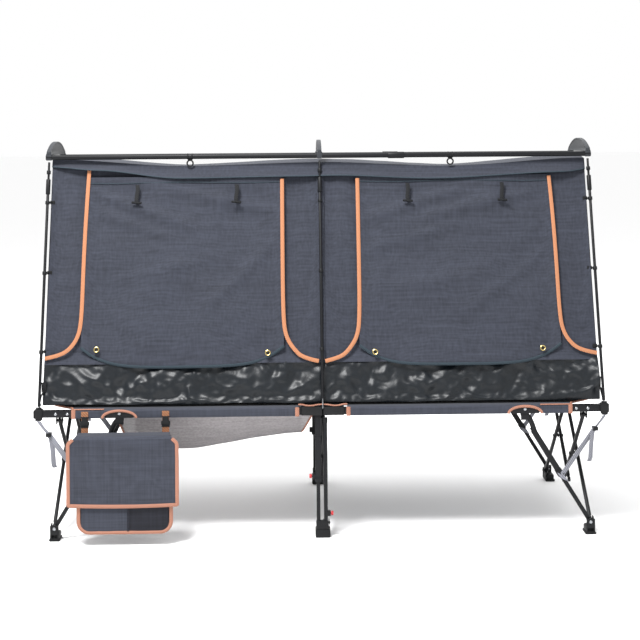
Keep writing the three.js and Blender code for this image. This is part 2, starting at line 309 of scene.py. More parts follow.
@dataclass(frozen=True)
class Finish:
    """One material: its colours, its gloss and the pattern of how it was made."""

    name: str
    light: str
    dark: str
    surface: Surface
    pitch_mm: float
    bump_mm: float = 0.2
    roughness: float = 0.6
    metallic: float = 0.0
    sheen: float = 0.0
    coat: float = 0.0
    specular: float = 0.2

    def build(self) -> bpy.types.Material:
        """Makes the material, once.

        Returns:
            The material under this finish's name.
        """
        known = bpy.data.materials.get(self.name)
        if known:
            return known
        made = bpy.data.materials.new(self.name)
        made.use_nodes = True
        tree = made.node_tree
        tree.nodes.clear()
        place = add_node(tree, "ShaderNodeTexCoord").outputs["Object"]
        pattern, height = self._pattern(tree, place)
        cloud = add_node(tree, "ShaderNodeTexNoise", {"Vector": place, "Scale": 5.0, "Detail": 4.0})
        # The colour mixes a random cloud tone with the pattern's colour share. On woven, ribbed and creased surfaces
        # that share follows the height, so raised threads, ribs and crease crests are painted lighter and the hollows
        # darker: painted light and shade.
        blend = add_node(tree, "ShaderNodeMath", {0: cloud.outputs["Fac"], 1: 0.22, 2: pattern},
                         operation="MULTIPLY_ADD")
        ramp = add_node(tree, "ShaderNodeMix", {"Factor": blend.outputs[0]}, data_type="RGBA")
        ramp.inputs["A"].default_value = linear(self.dark)
        ramp.inputs["B"].default_value = linear(self.light)
        gloss = add_node(tree, "ShaderNodeMapRange", {"Value": cloud.outputs["Fac"]})
        gloss.inputs["To Min"].default_value = self.roughness - 0.06
        gloss.inputs["To Max"].default_value = self.roughness + 0.06
        bump = add_node(tree, "ShaderNodeBump", {"Height": height, "Strength": 0.6})
        bump.inputs["Distance"].default_value = self.bump_mm * MM
        shader = add_node(tree, "ShaderNodeBsdfPrincipled", {
            "Base Color": ramp.outputs["Result"], "Roughness": gloss.outputs["Result"],
            "Normal": bump.outputs["Normal"], "Metallic": self.metallic,
            "Sheen Weight": self.sheen, "Coat Weight": self.coat,
            "Specular IOR Level": self.specular,
        })
        if self.surface is Surface.NET:
            self._open_holes(tree, pattern, shader)
        add_node(tree, "ShaderNodeOutputMaterial", {"Surface": shader.outputs[0]})
        return made

    def _open_holes(self, tree: NodeTree, pattern: Socket, shader: bpy.types.Node) -> None:
        """Lets some light through a net, whose real holes are finer than its drawn check.

        Args:
            tree: The material's node tree.
            pattern: The socket of the net's pattern.
            shader: The shader.
        """
        alpha = add_node(tree, "ShaderNodeMapRange", {"Value": pattern})
        alpha.inputs["To Min"].default_value = 0.62
        alpha.inputs["To Max"].default_value = 1.0
        tree.links.new(alpha.outputs["Result"], shader.inputs["Alpha"])

    def _pattern(self, tree: NodeTree, place: Socket) -> tuple[Socket, Socket]:
        """Picks the pattern of the surface.

        Args:
            tree: The material's node tree.
            place: The socket that gives the object's coordinates.

        Returns:
            The sockets of the colour share and of the height. On ribbed and creased surfaces the colour share is the
            height itself, so ribs and crease crests are painted lighter and their hollows darker as painted light and
            shade; on grained surfaces it is the grain's tone.
        """
        scale = 1 / (self.pitch_mm * MM)
        if self.surface in (Surface.WOVEN, Surface.NET):
            return self._weave(tree, place, scale)
        if self.surface is Surface.RIBBED:
            wave = add_node(tree, "ShaderNodeTexWave", {
                "Vector": place, "Scale": scale / 6.3, "Distortion": 0.6}, bands_direction="DIAGONAL")
            return wave.outputs["Fac"], wave.outputs["Fac"]
        if self.surface is Surface.CREASED:
            cells = add_node(tree, "ShaderNodeTexNoise", {
                "Vector": place, "Scale": scale, "Detail": 6.0, "Distortion": 1.6})
            return cells.outputs["Fac"], cells.outputs["Fac"]
        grain = add_node(tree, "ShaderNodeTexNoise", {"Vector": place, "Scale": scale, "Detail": 3.0})
        return grain.outputs["Fac"], grain.outputs["Fac"]

    def _weave(self, tree: NodeTree, place: Socket, scale: float) -> tuple[Socket, Socket]:
        """Crossed threads, with long slubs that run both ways. The slubs are the yarn's own tone; the threads' height
        is also mixed into the colour, so their tops are painted lighter and the hollows darker as painted light and
        shade.

        Args:
            tree: The material's node tree.
            place: The socket that gives the object's coordinates.
            scale: Threads per metre.

        Returns:
            The sockets of the colour share and of the height.
        """
        axes = add_node(tree, "ShaderNodeSeparateXYZ", {"Vector": place})
        total = None
        for axis in range(3):
            turn = add_node(tree, "ShaderNodeMath", {0: axes.outputs[axis], 1: scale * math.tau},
                            operation="MULTIPLY")
            wave = add_node(tree, "ShaderNodeMath", {0: turn.outputs[0]}, operation="SINE")
            feed = {0: wave.outputs[0], 1: total if total else 0.0}
            total = add_node(tree, "ShaderNodeMath", feed, operation="ADD").outputs[0]
        height = add_node(tree, "ShaderNodeMapRange", {"Value": total, "From Min": -2.0, "From Max": 2.0})
        slubs = None
        for stretch in ((1.0, 1.0, 0.03), (0.03, 1.0, 1.0)):
            run = add_node(tree, "ShaderNodeMapping", {"Vector": place, "Scale": stretch})
            slub = add_node(tree, "ShaderNodeTexNoise", {"Vector": run.outputs[0], "Scale": scale / 2,
                                                         "Detail": 2.0})
            feed = {0: slub.outputs["Fac"], 1: slubs if slubs else 0.0}
            slubs = add_node(tree, "ShaderNodeMath", feed, operation="ADD").outputs[0]
        # Painted light and shade: the thread height is added into the colour, so thread tops are lighter and the
        # hollows darker; the slubs are real tone.
        slub_tone_and_thread_shade = add_node(tree, "ShaderNodeMath", {0: height.outputs["Result"], 1: 0.35, 2: slubs},
                         operation="MULTIPLY_ADD")
        share = add_node(tree, "ShaderNodeMapRange", {"Value": slub_tone_and_thread_shade.outputs[0], "From Min": 0.7,
                                                      "From Max": 1.65, "To Min": 0.2, "To Max": 0.9})
        return share.outputs["Result"], slub_tone_and_thread_shade.outputs[0]


# Coated polyester canvas: dull, with threads and slubs, drawn coarser than the real 0.6 mm thread.
CANVAS = Finish("coated_canvas_woven", "30333d", "14161c", Surface.WOVEN, 4.0, 0.35, 0.82, sheen=0.1)
# The same cloth on the bed and the bag, a little bluer and smoother.
BED_CLOTH = Finish("bed_polyester_woven", "353842", "1b1d23", Surface.WOVEN, 3.0, 0.25, 0.8, sheen=0.1)
# Tub floor cloth: a slick black coating on nylon, crumpled in soft creases, whose crests are painted a little lighter
# and troughs darker as painted light and shade.
TUB_CLOTH = Finish("tub_nylon_coated", "0b1117", "04070a", Surface.CREASED, 45.0, 2.0, 0.42, specular=0.3)
# Steel tube with a satin black powder coat, whose orange peel is a few millimetres wide.
POWDER_COAT = Finish("steel_powder_coated", "141518", "070809", Surface.GRAINED, 3.0, 0.08, 0.48,
                     specular=0.18)
# Moulded glass-filled nylon: dull black with a fine grain.
NYLON = Finish("nylon_moulded", "151618", "060707", Surface.GRAINED, 1.5, 0.08, 0.55)
# Dark grey moulded crown plates with a fine grain.
CROWN_GREY = Finish("crown_polymer_moulded", "323438", "1a1d20", Surface.GRAINED, 2.0, 0.1, 0.5)
# Folded polyester tape: orange on the doors, tan on the bed and bag.
DOOR_TAPE = Finish("door_tape_woven", "a57152", "815339", Surface.RIBBED, 1.6, 0.1, 0.75)
BED_TAPE = Finish("bed_tape_woven", "9d715f", "724b3d", Surface.RIBBED, 1.6, 0.1, 0.75)
TAN_WEBBING = Finish("tan_webbing_woven", "865e45", "5b3825", Surface.RIBBED, 2.5, 0.4, 0.78)
GREY_WEBBING = Finish("grey_webbing_woven", "818289", "54555c", Surface.RIBBED, 2.5, 0.4, 0.75)
BLACK_WEBBING = Finish("black_webbing_woven", "16171a", "050607", Surface.RIBBED, 2.5, 0.4, 0.75)
HEM_TAPE = Finish("hem_tape_woven", "303b43", "1d262c", Surface.RIBBED, 1.6, 0.1, 0.7)
# Light warp-knitted sling net, its holes drawn as a soft check.
SLING_NET = Finish("sling_net_knitted", "959192", "787476", Surface.NET, 4.0, 0.2, 0.8)
POCKET_NET = Finish("pocket_net_knitted", "1e1f27", "050609", Surface.WOVEN, 4.0, 0.4, 0.7)
BRASS = Finish("brass_pressed", "bbaa78", "7a693b", Surface.GRAINED, 2.0, 0.05, 0.3, metallic=1.0,
               specular=0.5)
STEEL = Finish("steel_zinc_plated", "aeb0b3", "71757a", Surface.GRAINED, 2.0, 0.05, 0.3, metallic=1.0,
               specular=0.5)
RED_PLASTIC = Finish("red_acetal_moulded", "b5252a", "851219", Surface.GRAINED, 2.0, 0.04, 0.32,
                     specular=0.5)


# ---- shop tools ----
def deselect() -> None:
    """Leaves edit mode and selects nothing."""
    if bpy.context.object and bpy.context.object.mode != "OBJECT":
        bpy.ops.object.mode_set(mode="OBJECT")
    bpy.ops.object.select_all(action="DESELECT")


def pick(piece: Piece) -> None:
    """Makes a piece the one selected and active object.

    Args:
        piece: The piece.
    """
    deselect()
    bpy.context.view_layer.objects.active = piece
    piece.select_set(True)


def settle(name: str) -> Piece:
    """Names the active object and moves its place, turn and scale into its mesh.

    Args:
        name: The piece's name.

    Returns:
        The piece.
    """
    piece = bpy.context.object
    piece.name = name
    piece.data.name = name
    bpy.ops.object.transform_apply(location=True, rotation=True, scale=True)
    return piece


def edit_faces(piece: Piece, chosen: Callable[[bpy.types.MeshPolygon], bool]) -> None:
    """Enters edit mode with only the chosen faces selected.

    Args:
        piece: The piece.
        chosen: Says whether a face is chosen.
    """
    pick(piece)
    bpy.context.tool_settings.mesh_select_mode = (False, False, True)
    for part in (*piece.data.vertices, *piece.data.edges):
        part.select = False
    for face in piece.data.polygons:
        face.select = chosen(face)
    bpy.ops.object.mode_set(mode="EDIT")


def modify(piece: Piece, kind: str, **settings: object) -> None:
    """Adds a modifier to a piece and applies it.

    Args:
        piece: The piece.
        kind: The modifier's type.
        **settings: The modifier's own settings.
    """
    pick(piece)
    modifier = piece.modifiers.new(kind.title(), kind)
    for key, value in settings.items():
        setattr(modifier, key, value)
    bpy.ops.object.modifier_apply(modifier=modifier.name)


def soften(piece: Piece, width: float, segments: int = 2) -> Piece:
    """Rounds the hard edges of a piece."""
    modify(piece, "BEVEL", width=width, segments=segments, limit_method="ANGLE", angle_limit=0.6)
    return piece


def block(name: str, low: Point, high: Point, round_by: float = 0.0015) -> Piece:
    """Makes a box between two corners, with rounded edges.

    Args:
        name: The piece's name.
        low: One corner.
        high: The other corner.
        round_by: The width of the rounding.

    Returns:
        The piece.
    """
    deselect()
    a, b = Vector(low), Vector(high)
    bpy.ops.mesh.primitive_cube_add(size=1, location=(a + b) / 2)
    bpy.context.object.scale = [abs(c) for c in b - a]
    return soften(settle(name), round_by)


def rod(name: str, start: Point, end: Point, radius: float, sides: int = 20,
        bore: float = 0.0, round_by: float = 0.0006) -> Piece:
    """Makes a round bar or an open tube end to end between two points.

    Args:
        name: The piece's name.
        start: The middle of one end.
        end: The middle of the other end.
        radius: The bar's radius.
        sides: How many sides it has.
        bore: The radius of a recess in both ends, or 0 for none.
        round_by: The width of the rounding on the rims.

    Returns:
        The piece.
    """
    deselect()
    a, b = Vector(start), Vector(end)
    turn = (b - a).to_track_quat("Z", "Y").to_euler()
    bpy.ops.mesh.primitive_cylinder_add(vertices=sides, radius=radius, depth=(b - a).length,
                                        location=(a + b) / 2, rotation=turn)
    piece = settle(name)
    if bore:
        depth = min(0.012, (b - a).length * 0.3)
        sink(piece, lambda face: len(face.vertices) > 4, radius - bore, depth)
    return soften(piece, round_by)


def sink(piece: Piece, chosen: Callable[[bpy.types.MeshPolygon], bool], wall: float, depth: float,
         slope: float = 0.0002) -> None:
    """Sinks the chosen faces, which leaves a wall around each.

    Args:
        piece: The piece.
        chosen: Says whether a face is chosen.
        wall: The thickness of the wall that is left.
        depth: How deep the faces sink.
        slope: How much narrower the recess is at its foot.
    """
    edit_faces(piece, chosen)
    bpy.ops.mesh.inset(thickness=wall, use_individual=True)
    bpy.ops.mesh.inset(thickness=slope, depth=-depth, use_individual=True)
    bpy.ops.object.mode_set(mode="OBJECT")


def square_bar(name: str, start: Point, end: Point, width: float, height: float,
               round_by: float = 0.002, bore: bool = True) -> Piece:
    """Makes a square tube between two points, with its ends sunk.

    Args:
        name: The piece's name.
        start: The middle of one end.
        end: The middle of the other end.
        width: Its size across, level.
        height: Its size the other way across.
        round_by: The width of its corners' rounding.
        bore: Whether its ends are open.

    Returns:
        The piece.
    """
    deselect()
    a, b = Vector(start), Vector(end)
    turn = (b - a).to_track_quat("Z", "Y").to_euler()
    bpy.ops.mesh.primitive_cube_add(size=1, location=(a + b) / 2, rotation=turn)
    bpy.context.object.scale = (width, height, (b - a).length)
    piece = settle(name)
    if bore:
        line = (b - a).normalized()
        sink(piece, lambda face: abs(face.normal.dot(line)) > 0.9, 0.002, 0.008)
    return soften(piece, round_by)


def dome(name: str, middle: Point, axis: Point, radius: float, proud: float) -> Piece:
    """Makes a rivet head: a flattened dome that stands proud along an axis.

    Args:
        name: The piece's name.
        middle: Its middle.
        axis: The way that it faces.
        radius: Its radius.
        proud: How far it stands proud.

    Returns:
        The piece.
    """
    deselect()
    turn = Vector(axis).to_track_quat("Z", "Y").to_euler()
    bpy.ops.mesh.primitive_uv_sphere_add(segments=16, ring_count=8, radius=1, location=middle,
                                         rotation=turn)
    bpy.context.object.scale = (radius, radius, proud)
    return settle(name)


def ring(name: str, middle: Point, axis: Point, radius: float, thick: float) -> Piece:
    """Makes a round ring of round wire about an axis.

    Args:
        name: The piece's name.
        middle: Its middle.
        axis: The way that it faces.
        radius: The ring's radius.
        thick: The wire's radius.

    Returns:
        The piece.
    """
    deselect()
    turn = Vector(axis).to_track_quat("Z", "Y").to_euler()
    bpy.ops.mesh.primitive_torus_add(location=middle, rotation=turn, major_radius=radius,
                                     minor_radius=thick, major_segments=24, minor_segments=8)
    return settle(name)


def ribbon(name: str, path: Sequence[Point], across: Point, thick: float) -> Piece:
    """Makes flat webbing by extruding one edge along a path.

    Args:
        name: The piece's name.
        path: The middle line.
        across: The vector from the middle line to one edge.
        thick: How thick the webbing is.

    Returns:
        The piece.
    """
    deselect()
    half = Vector(across)
    bpy.ops.mesh.primitive_plane_add(size=1, location=(0, 0, 0))
    piece = settle(name)
    corners = [Vector(path[0]) - half, Vector(path[0]) + half,
               Vector(path[1]) - half, Vector(path[1]) + half]
    for vertex, place in zip(piece.data.vertices, corners):
        vertex.co = place
    lead = {2, 3}
    for edge in piece.data.edges:
        edge.select = set(edge.vertices) == lead
    for vertex in piece.data.vertices:
        vertex.select = vertex.index in lead
    for face in piece.data.polygons:
        face.select = False
    bpy.ops.object.mode_set(mode="EDIT")
    bpy.ops.mesh.select_mode(type="EDGE")
    for near, far in zip(path[1:], path[2:]):
        step = Vector(far) - Vector(near)
        bpy.ops.mesh.extrude_edges_move(TRANSFORM_OT_translate={"value": step})
    bpy.ops.mesh.select_mode(type="VERT")
    bpy.ops.object.mode_set(mode="OBJECT")
    modify(piece, "SOLIDIFY", thickness=thick, offset=0.0)
    return soften(piece, thick * 0.3)


def tape(name: str, path: Sequence[Point], radius: float, flat: Vector | None = None,
         closed: bool = False, share: float = 0.4) -> Piece:
    """Makes round piping, or folded tape when it is flattened, along a smooth path.

    Args:
        name: The piece's name.
        path: The points it passes.
        radius: Half its width.
        flat: The direction it is flattened along, or None for round piping.
        closed: Whether the path closes on itself.
        share: Its thickness over its width, when it is flattened.

    Returns:
        The piece, as a mesh.
    """
    deselect()
    bpy.ops.curve.primitive_nurbs_path_add(location=(0, 0, 0))
    piece = bpy.context.object
    curve = piece.data
    curve.splines.clear()
    spline = curve.splines.new("NURBS")
    spline.points.add(len(path) - 1)
    for point, place in zip(spline.points, path):
        point.co = (*place, 1.0)
    spline.order_u = 3
    spline.use_endpoint_u = not closed
    spline.use_cyclic_u = closed
    spline.resolution_u = 4
    curve.dimensions = "3D"
    curve.bevel_depth = radius
    curve.bevel_resolution = 2
    curve.use_fill_caps = not closed
    bpy.ops.object.convert(target="MESH")
    piece = settle(name)
    if flat is not None:
        flatten_about_path(piece, path, flat.normalized(), share)
    return piece


def flatten_about_path(piece: Piece, path: Sequence[Point], flat: Vector, share: float) -> None:
    """Draws a tube's points in towards its path along one direction.

    Args:
        piece: The tube.
        path: The points that it passes.
        flat: The direction that it is flattened along.
        share: The thickness over the width.
    """
    dense = []
    for a, b in zip(path, path[1:]):
        dense += [Vector(a).lerp(Vector(b), i / 8) for i in range(8)]
    dense.append(Vector(path[-1]))
    for vertex in piece.data.vertices:
        near = min(dense, key=lambda p: (p - vertex.co).length_squared)
        off = (vertex.co - near).dot(flat)
        vertex.co -= flat * off * (1 - share)


def join(name: str, parts: Sequence[Piece]) -> Piece:
    """Joins several made parts into one piece.

    Args:
        name: The piece's name.
        parts: The parts, the first of which takes the others in.

    Returns:
        The piece.
    """
    deselect()
    for part in parts:
        part.select_set(True)
    bpy.context.view_layer.objects.active = parts[0]
    bpy.ops.object.join()
    parts[0].name = name
    parts[0].data.name = name
    return parts[0]


def grid(name: str, across: int, along: int, place: Callable[[float, float], Point],
         keep: Callable[[float, float], bool] | None = None) -> Piece:
    """Makes a sheet of cloth as a grid whose points a function places.

    Args:
        name: The piece's name.
        across: Cells one way.
        along: Cells the other way.
        place: Gives a point for two shares from 0 to 1.
        keep: Says whether the cell at two shares is cloth, or None for all of them.

    Returns:
        The piece, one layer thick.
    """
    points = [place(i / across, j / along) for j in range(along + 1) for i in range(across + 1)]
    faces = []
    for j in range(along):
        for i in range(across):
            if keep is None or keep((i + 0.5) / across, (j + 0.5) / along):
                corner = j * (across + 1) + i
                faces.append((corner, corner + 1, corner + across + 2, corner + across + 1))
    used = sorted({i for face in faces for i in face})
    renumber = {old: new for new, old in enumerate(used)}
    mesh = bpy.data.meshes.new(name)
    mesh.from_pydata([points[i] for i in used], [], [[renumber[i] for i in f] for f in faces])
    piece = bpy.data.objects.new(name, mesh)
    bpy.context.scene.collection.objects.link(piece)
    return piece


# How heavy and stiff the tent's coated canvas is in the cloth runs.
CANVAS_FEEL = {"quality": 6, "mass": 0.25, "tension_stiffness": 25, "compression_stiffness": 25,
               "shear_stiffness": 8, "bending_stiffness": 0.6, "air_damping": 4}


def drape(piece: Piece, held: Callable[[Vector], float], slack: float, frames: int = 16,
          weight: float = 1.0, cap: float = 0.03) -> None:
    """Lets cloth that is cut a little large hang and wrinkle from where it is held.

    Args:
        piece: The sheet.
        held: How firmly a point is held, from 0 to 1.
        slack: How much longer the cloth is than its place, as a share.
        frames: How long it hangs.
        weight: Gravity's share.
        cap: The furthest that a point may move.
    """
    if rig.quick():
        return
    before = [vertex.co.copy() for vertex in piece.data.vertices]
    group = piece.vertex_groups.new(name="held")
    for vertex in piece.data.vertices:
        group.add([vertex.index], held(vertex.co), "REPLACE")
    deselect()
    bpy.context.view_layer.objects.active = piece
    cloth = piece.modifiers.new("Cloth", "CLOTH")
    settings = cloth.settings
    for key, value in CANVAS_FEEL.items():
        setattr(settings, key, value)
    settings.vertex_group_mass = "held"
    settings.shrink_min = -slack
    settings.effector_weights.gravity = weight
    cloth.point_cache.frame_start = 1
    cloth.point_cache.frame_end = frames
    for step in range(1, frames + 1):
        bpy.context.scene.frame_set(step)
    bpy.ops.object.modifier_apply(modifier=cloth.name)
    bpy.context.scene.frame_set(1)
    for vertex, start in zip(piece.data.vertices, before):
        move = vertex.co - start
        if move.length > cap:
            vertex.co = start + move * (cap / move.length)
    piece.vertex_groups.clear()


def crumple(piece: Piece, proud: Callable[[Vector], float], way: Vector) -> None:
    """Presses folds into a sheet.

    Args:
        piece: The sheet.
        proud: How far a point moves.
        way: The direction that it moves in.
    """
    line = way.normalized()
    for vertex in piece.data.vertices:
        vertex.co += line * proud(vertex.co.copy())


def thicken(piece: Piece, thick: float, levels: int = 0) -> Piece:
    """Gives a sheet its thickness, and rounds its form first if asked.

    Args:
        piece: The sheet.
        thick: The thickness.
        levels: How often the form is rounded first.

    Returns:
        The piece.
    """
    if levels:
        modify(piece, "SUBSURF", levels=levels, render_levels=levels)
    modify(piece, "SOLIDIFY", thickness=thick, offset=0.0)
    return piece


def finish_off(piece: Piece, body: str | None, finish: Finish, slot: str,
               replaces: Sequence[str] = ()) -> Piece:
    """Dresses a piece, smooths it, and says what it rides on and stands for.

    Args:
        piece: The piece.
        body: The body that it rides on, or None where it blends between two.
        finish: Its material.
        slot: The record's material slot.
        replaces: The CAD nodes that it stands for.

    Returns:
        The piece.
    """
    piece.data.materials.clear()
    piece.data.materials.append(finish.build())
    pick(piece)
    bpy.ops.object.shade_smooth_by_angle(angle=math.radians(38))
    if body:
        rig.ride(piece, body)
    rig.slot(piece, slot)
    if replaces:
        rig.replaces(piece, *replaces)
        piece.name = f"{replaces[0]}_made"
    LOG.info("%s: %d faces on %s", piece.name, len(piece.data.polygons), body)
    return piece


def assemble(name: str, parts: Sequence[Piece], body: str | None, finish: Finish, slot: str,
             replaces: Sequence[str] = ()) -> Piece:
    """Joins made parts into one piece and dresses it."""
    return finish_off(join(name, parts), body, finish, slot, replaces)


def ripple(x: float, y: float, z: float, scale: float) -> float:
    """Smooth noise from -1 to 1 at a place, with a wrinkle about 1 / scale metres wide."""
    return noise.noise(Vector((x * scale, y * scale, z * scale)))


# The directions, scales per metre and shares of the sharp creases in slick cloth.
CREASES = ((0.55, 6.0, 0.75), (-0.7, 8.0, 0.6), (1.3, 11.0, 0.35), (-0.2, 19.0, 0.2))


def crease(x: float, z: float, seed: float) -> float:
    """Sharp crossing creases, from about -1 to 1, as crumpled slick cloth has.

    Args:
        x: The place along the bed.
        z: The height.
        seed: Picks one pattern of many.

    Returns:
        From about -1 to 1.
    """
    total = 0.0
    for number, (angle, scale, share) in enumerate(CREASES):
        along = x * math.cos(angle) + z * math.sin(angle)
        over = z * math.cos(angle) - x * math.sin(angle)
        place = Vector((along * scale, over * scale * 2.6, seed + 7 * number))
        total += share * (1 - 3.2 * abs(noise.noise(place)))
    return total


def wave_between(x: float, knots: Sequence[tuple[float, float]]) -> float:
    """A value that runs smoothly through a few knots along X.

    Args:
        x: The place along X.
        knots: Places along X and the values there.

    Returns:
        The value.
    """
    if x <= knots[0][0]:
        return knots[0][1]
    for (x0, v0), (x1, v1) in zip(knots, knots[1:]):
        if x <= x1:
            t = (x - x0) / (x1 - x0)
            return v0 + (v1 - v0) * t * t * (3 - 2 * t)
    return knots[-1][1]


# ---- places from the frame ----
def middle_of(node: str) -> Vector:
    """The middle of a CAD node's box."""
    low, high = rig.box(node)
    return (low + high) / 2


PIVOTS = {joint["name"]: Vector(joint["pos_m"]) for joint in frame["joints"] if "pos_m" in joint}


@dataclass(frozen=True)
class Plan:
    """The driving places, read from the frame. Depths are from the bed's middle line."""

    mid_y: float
    rail_y: float
    hoop_x: float
    pole_y: float
    pole_z: float
    pole_radius: float
    wall_low: float
    wall_high: float
    wall_low_y: float
    wall_high_y: float

    @classmethod
    def read(cls) -> Plan:
        """Reads the plan from the node boxes."""
        front_pole, back_pole = middle_of("front_shoulder_pole"), middle_of("back_shoulder_pole")
        mid_y = (front_pole.y + back_pole.y) / 2
        low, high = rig.box("front_shoulder_pole")
        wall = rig.box("tent_front_wall")
        return cls(
            mid_y=mid_y,
            rail_y=mid_y - middle_of("front_strut_tube_right").y,
            hoop_x=middle_of("front_hoop_leg_right").x,
            pole_y=mid_y - front_pole.y,
            pole_z=front_pole.z,
            pole_radius=(high.z - low.z) / 2,
            wall_low=wall[0].z,
            wall_high=wall[1].z,
            wall_low_y=mid_y - wall[0].y - 0.002,
            wall_high_y=mid_y - wall[1].y + 0.002,
        )

    def at(self, x: float, y: float, z: float) -> Vector:
        """A point given by its depth from the bed's middle line."""
        return Vector((x, y + self.mid_y, z))

    def on_wall(self, side: Side, x: float, z: float, out: float = 0.0) -> Vector:
        """A point on a leaning long wall, at a height, moved out from it.

        Args:
            side: The long side.
            x: The place along the bed.
            z: The height.
            out: How far it stands out of the wall.

        Returns:
            The point.
        """
        share = (z - self.wall_low) / (self.wall_high - self.wall_low)
        depth = self.wall_low_y + (self.wall_high_y - self.wall_low_y) * share
        return self.at(x, side.value * (depth + out), z)

    def front(self, x: float, z: float, out: float = 0.0) -> Vector:
        """A point on the front long wall, moved out from it."""
        return self.on_wall(Side.FRONT, x, z, out)

    def on_leg(self, side: Side, x: float, z: float) -> Vector:
        """A point on a hoop leg's middle line, at a height.

        Args:
            side: The long side.
            x: The place along the bed.
            z: The height.

        Returns:
            The point.
        """
        foot = PIVOTS["front_hoop_pivot"]
        shoulder = PIVOTS["front_shoulder"]
        share = (z - foot.z) / (shoulder.z - foot.z)
        depth = self.mid_y - (foot.y + (shoulder.y - foot.y) * share)
        return self.at(x, side.value * depth, z)


PLAN = Plan.read()


def bed_block(name: str, low: Point, high: Point, round_by: float) -> Piece:
    """A box between two corners given from the bed's middle line."""
    return block(name, PLAN.at(*low), PLAN.at(*high), round_by)


def bed_rod(name: str, start: Point, end: Point, radius: float, **shape: float) -> Piece:
    """A round bar between two points given from the bed's middle line."""
    return rod(name, PLAN.at(*start), PLAN.at(*end), radius, **shape)


def bed_bar(name: str, start: Point, end: Point, width: float, height: float,
            round_by: float = 0.002) -> Piece:
    """A square tube between two points given from the bed's middle line."""
    return square_bar(name, PLAN.at(*start), PLAN.at(*end), width, height, round_by)


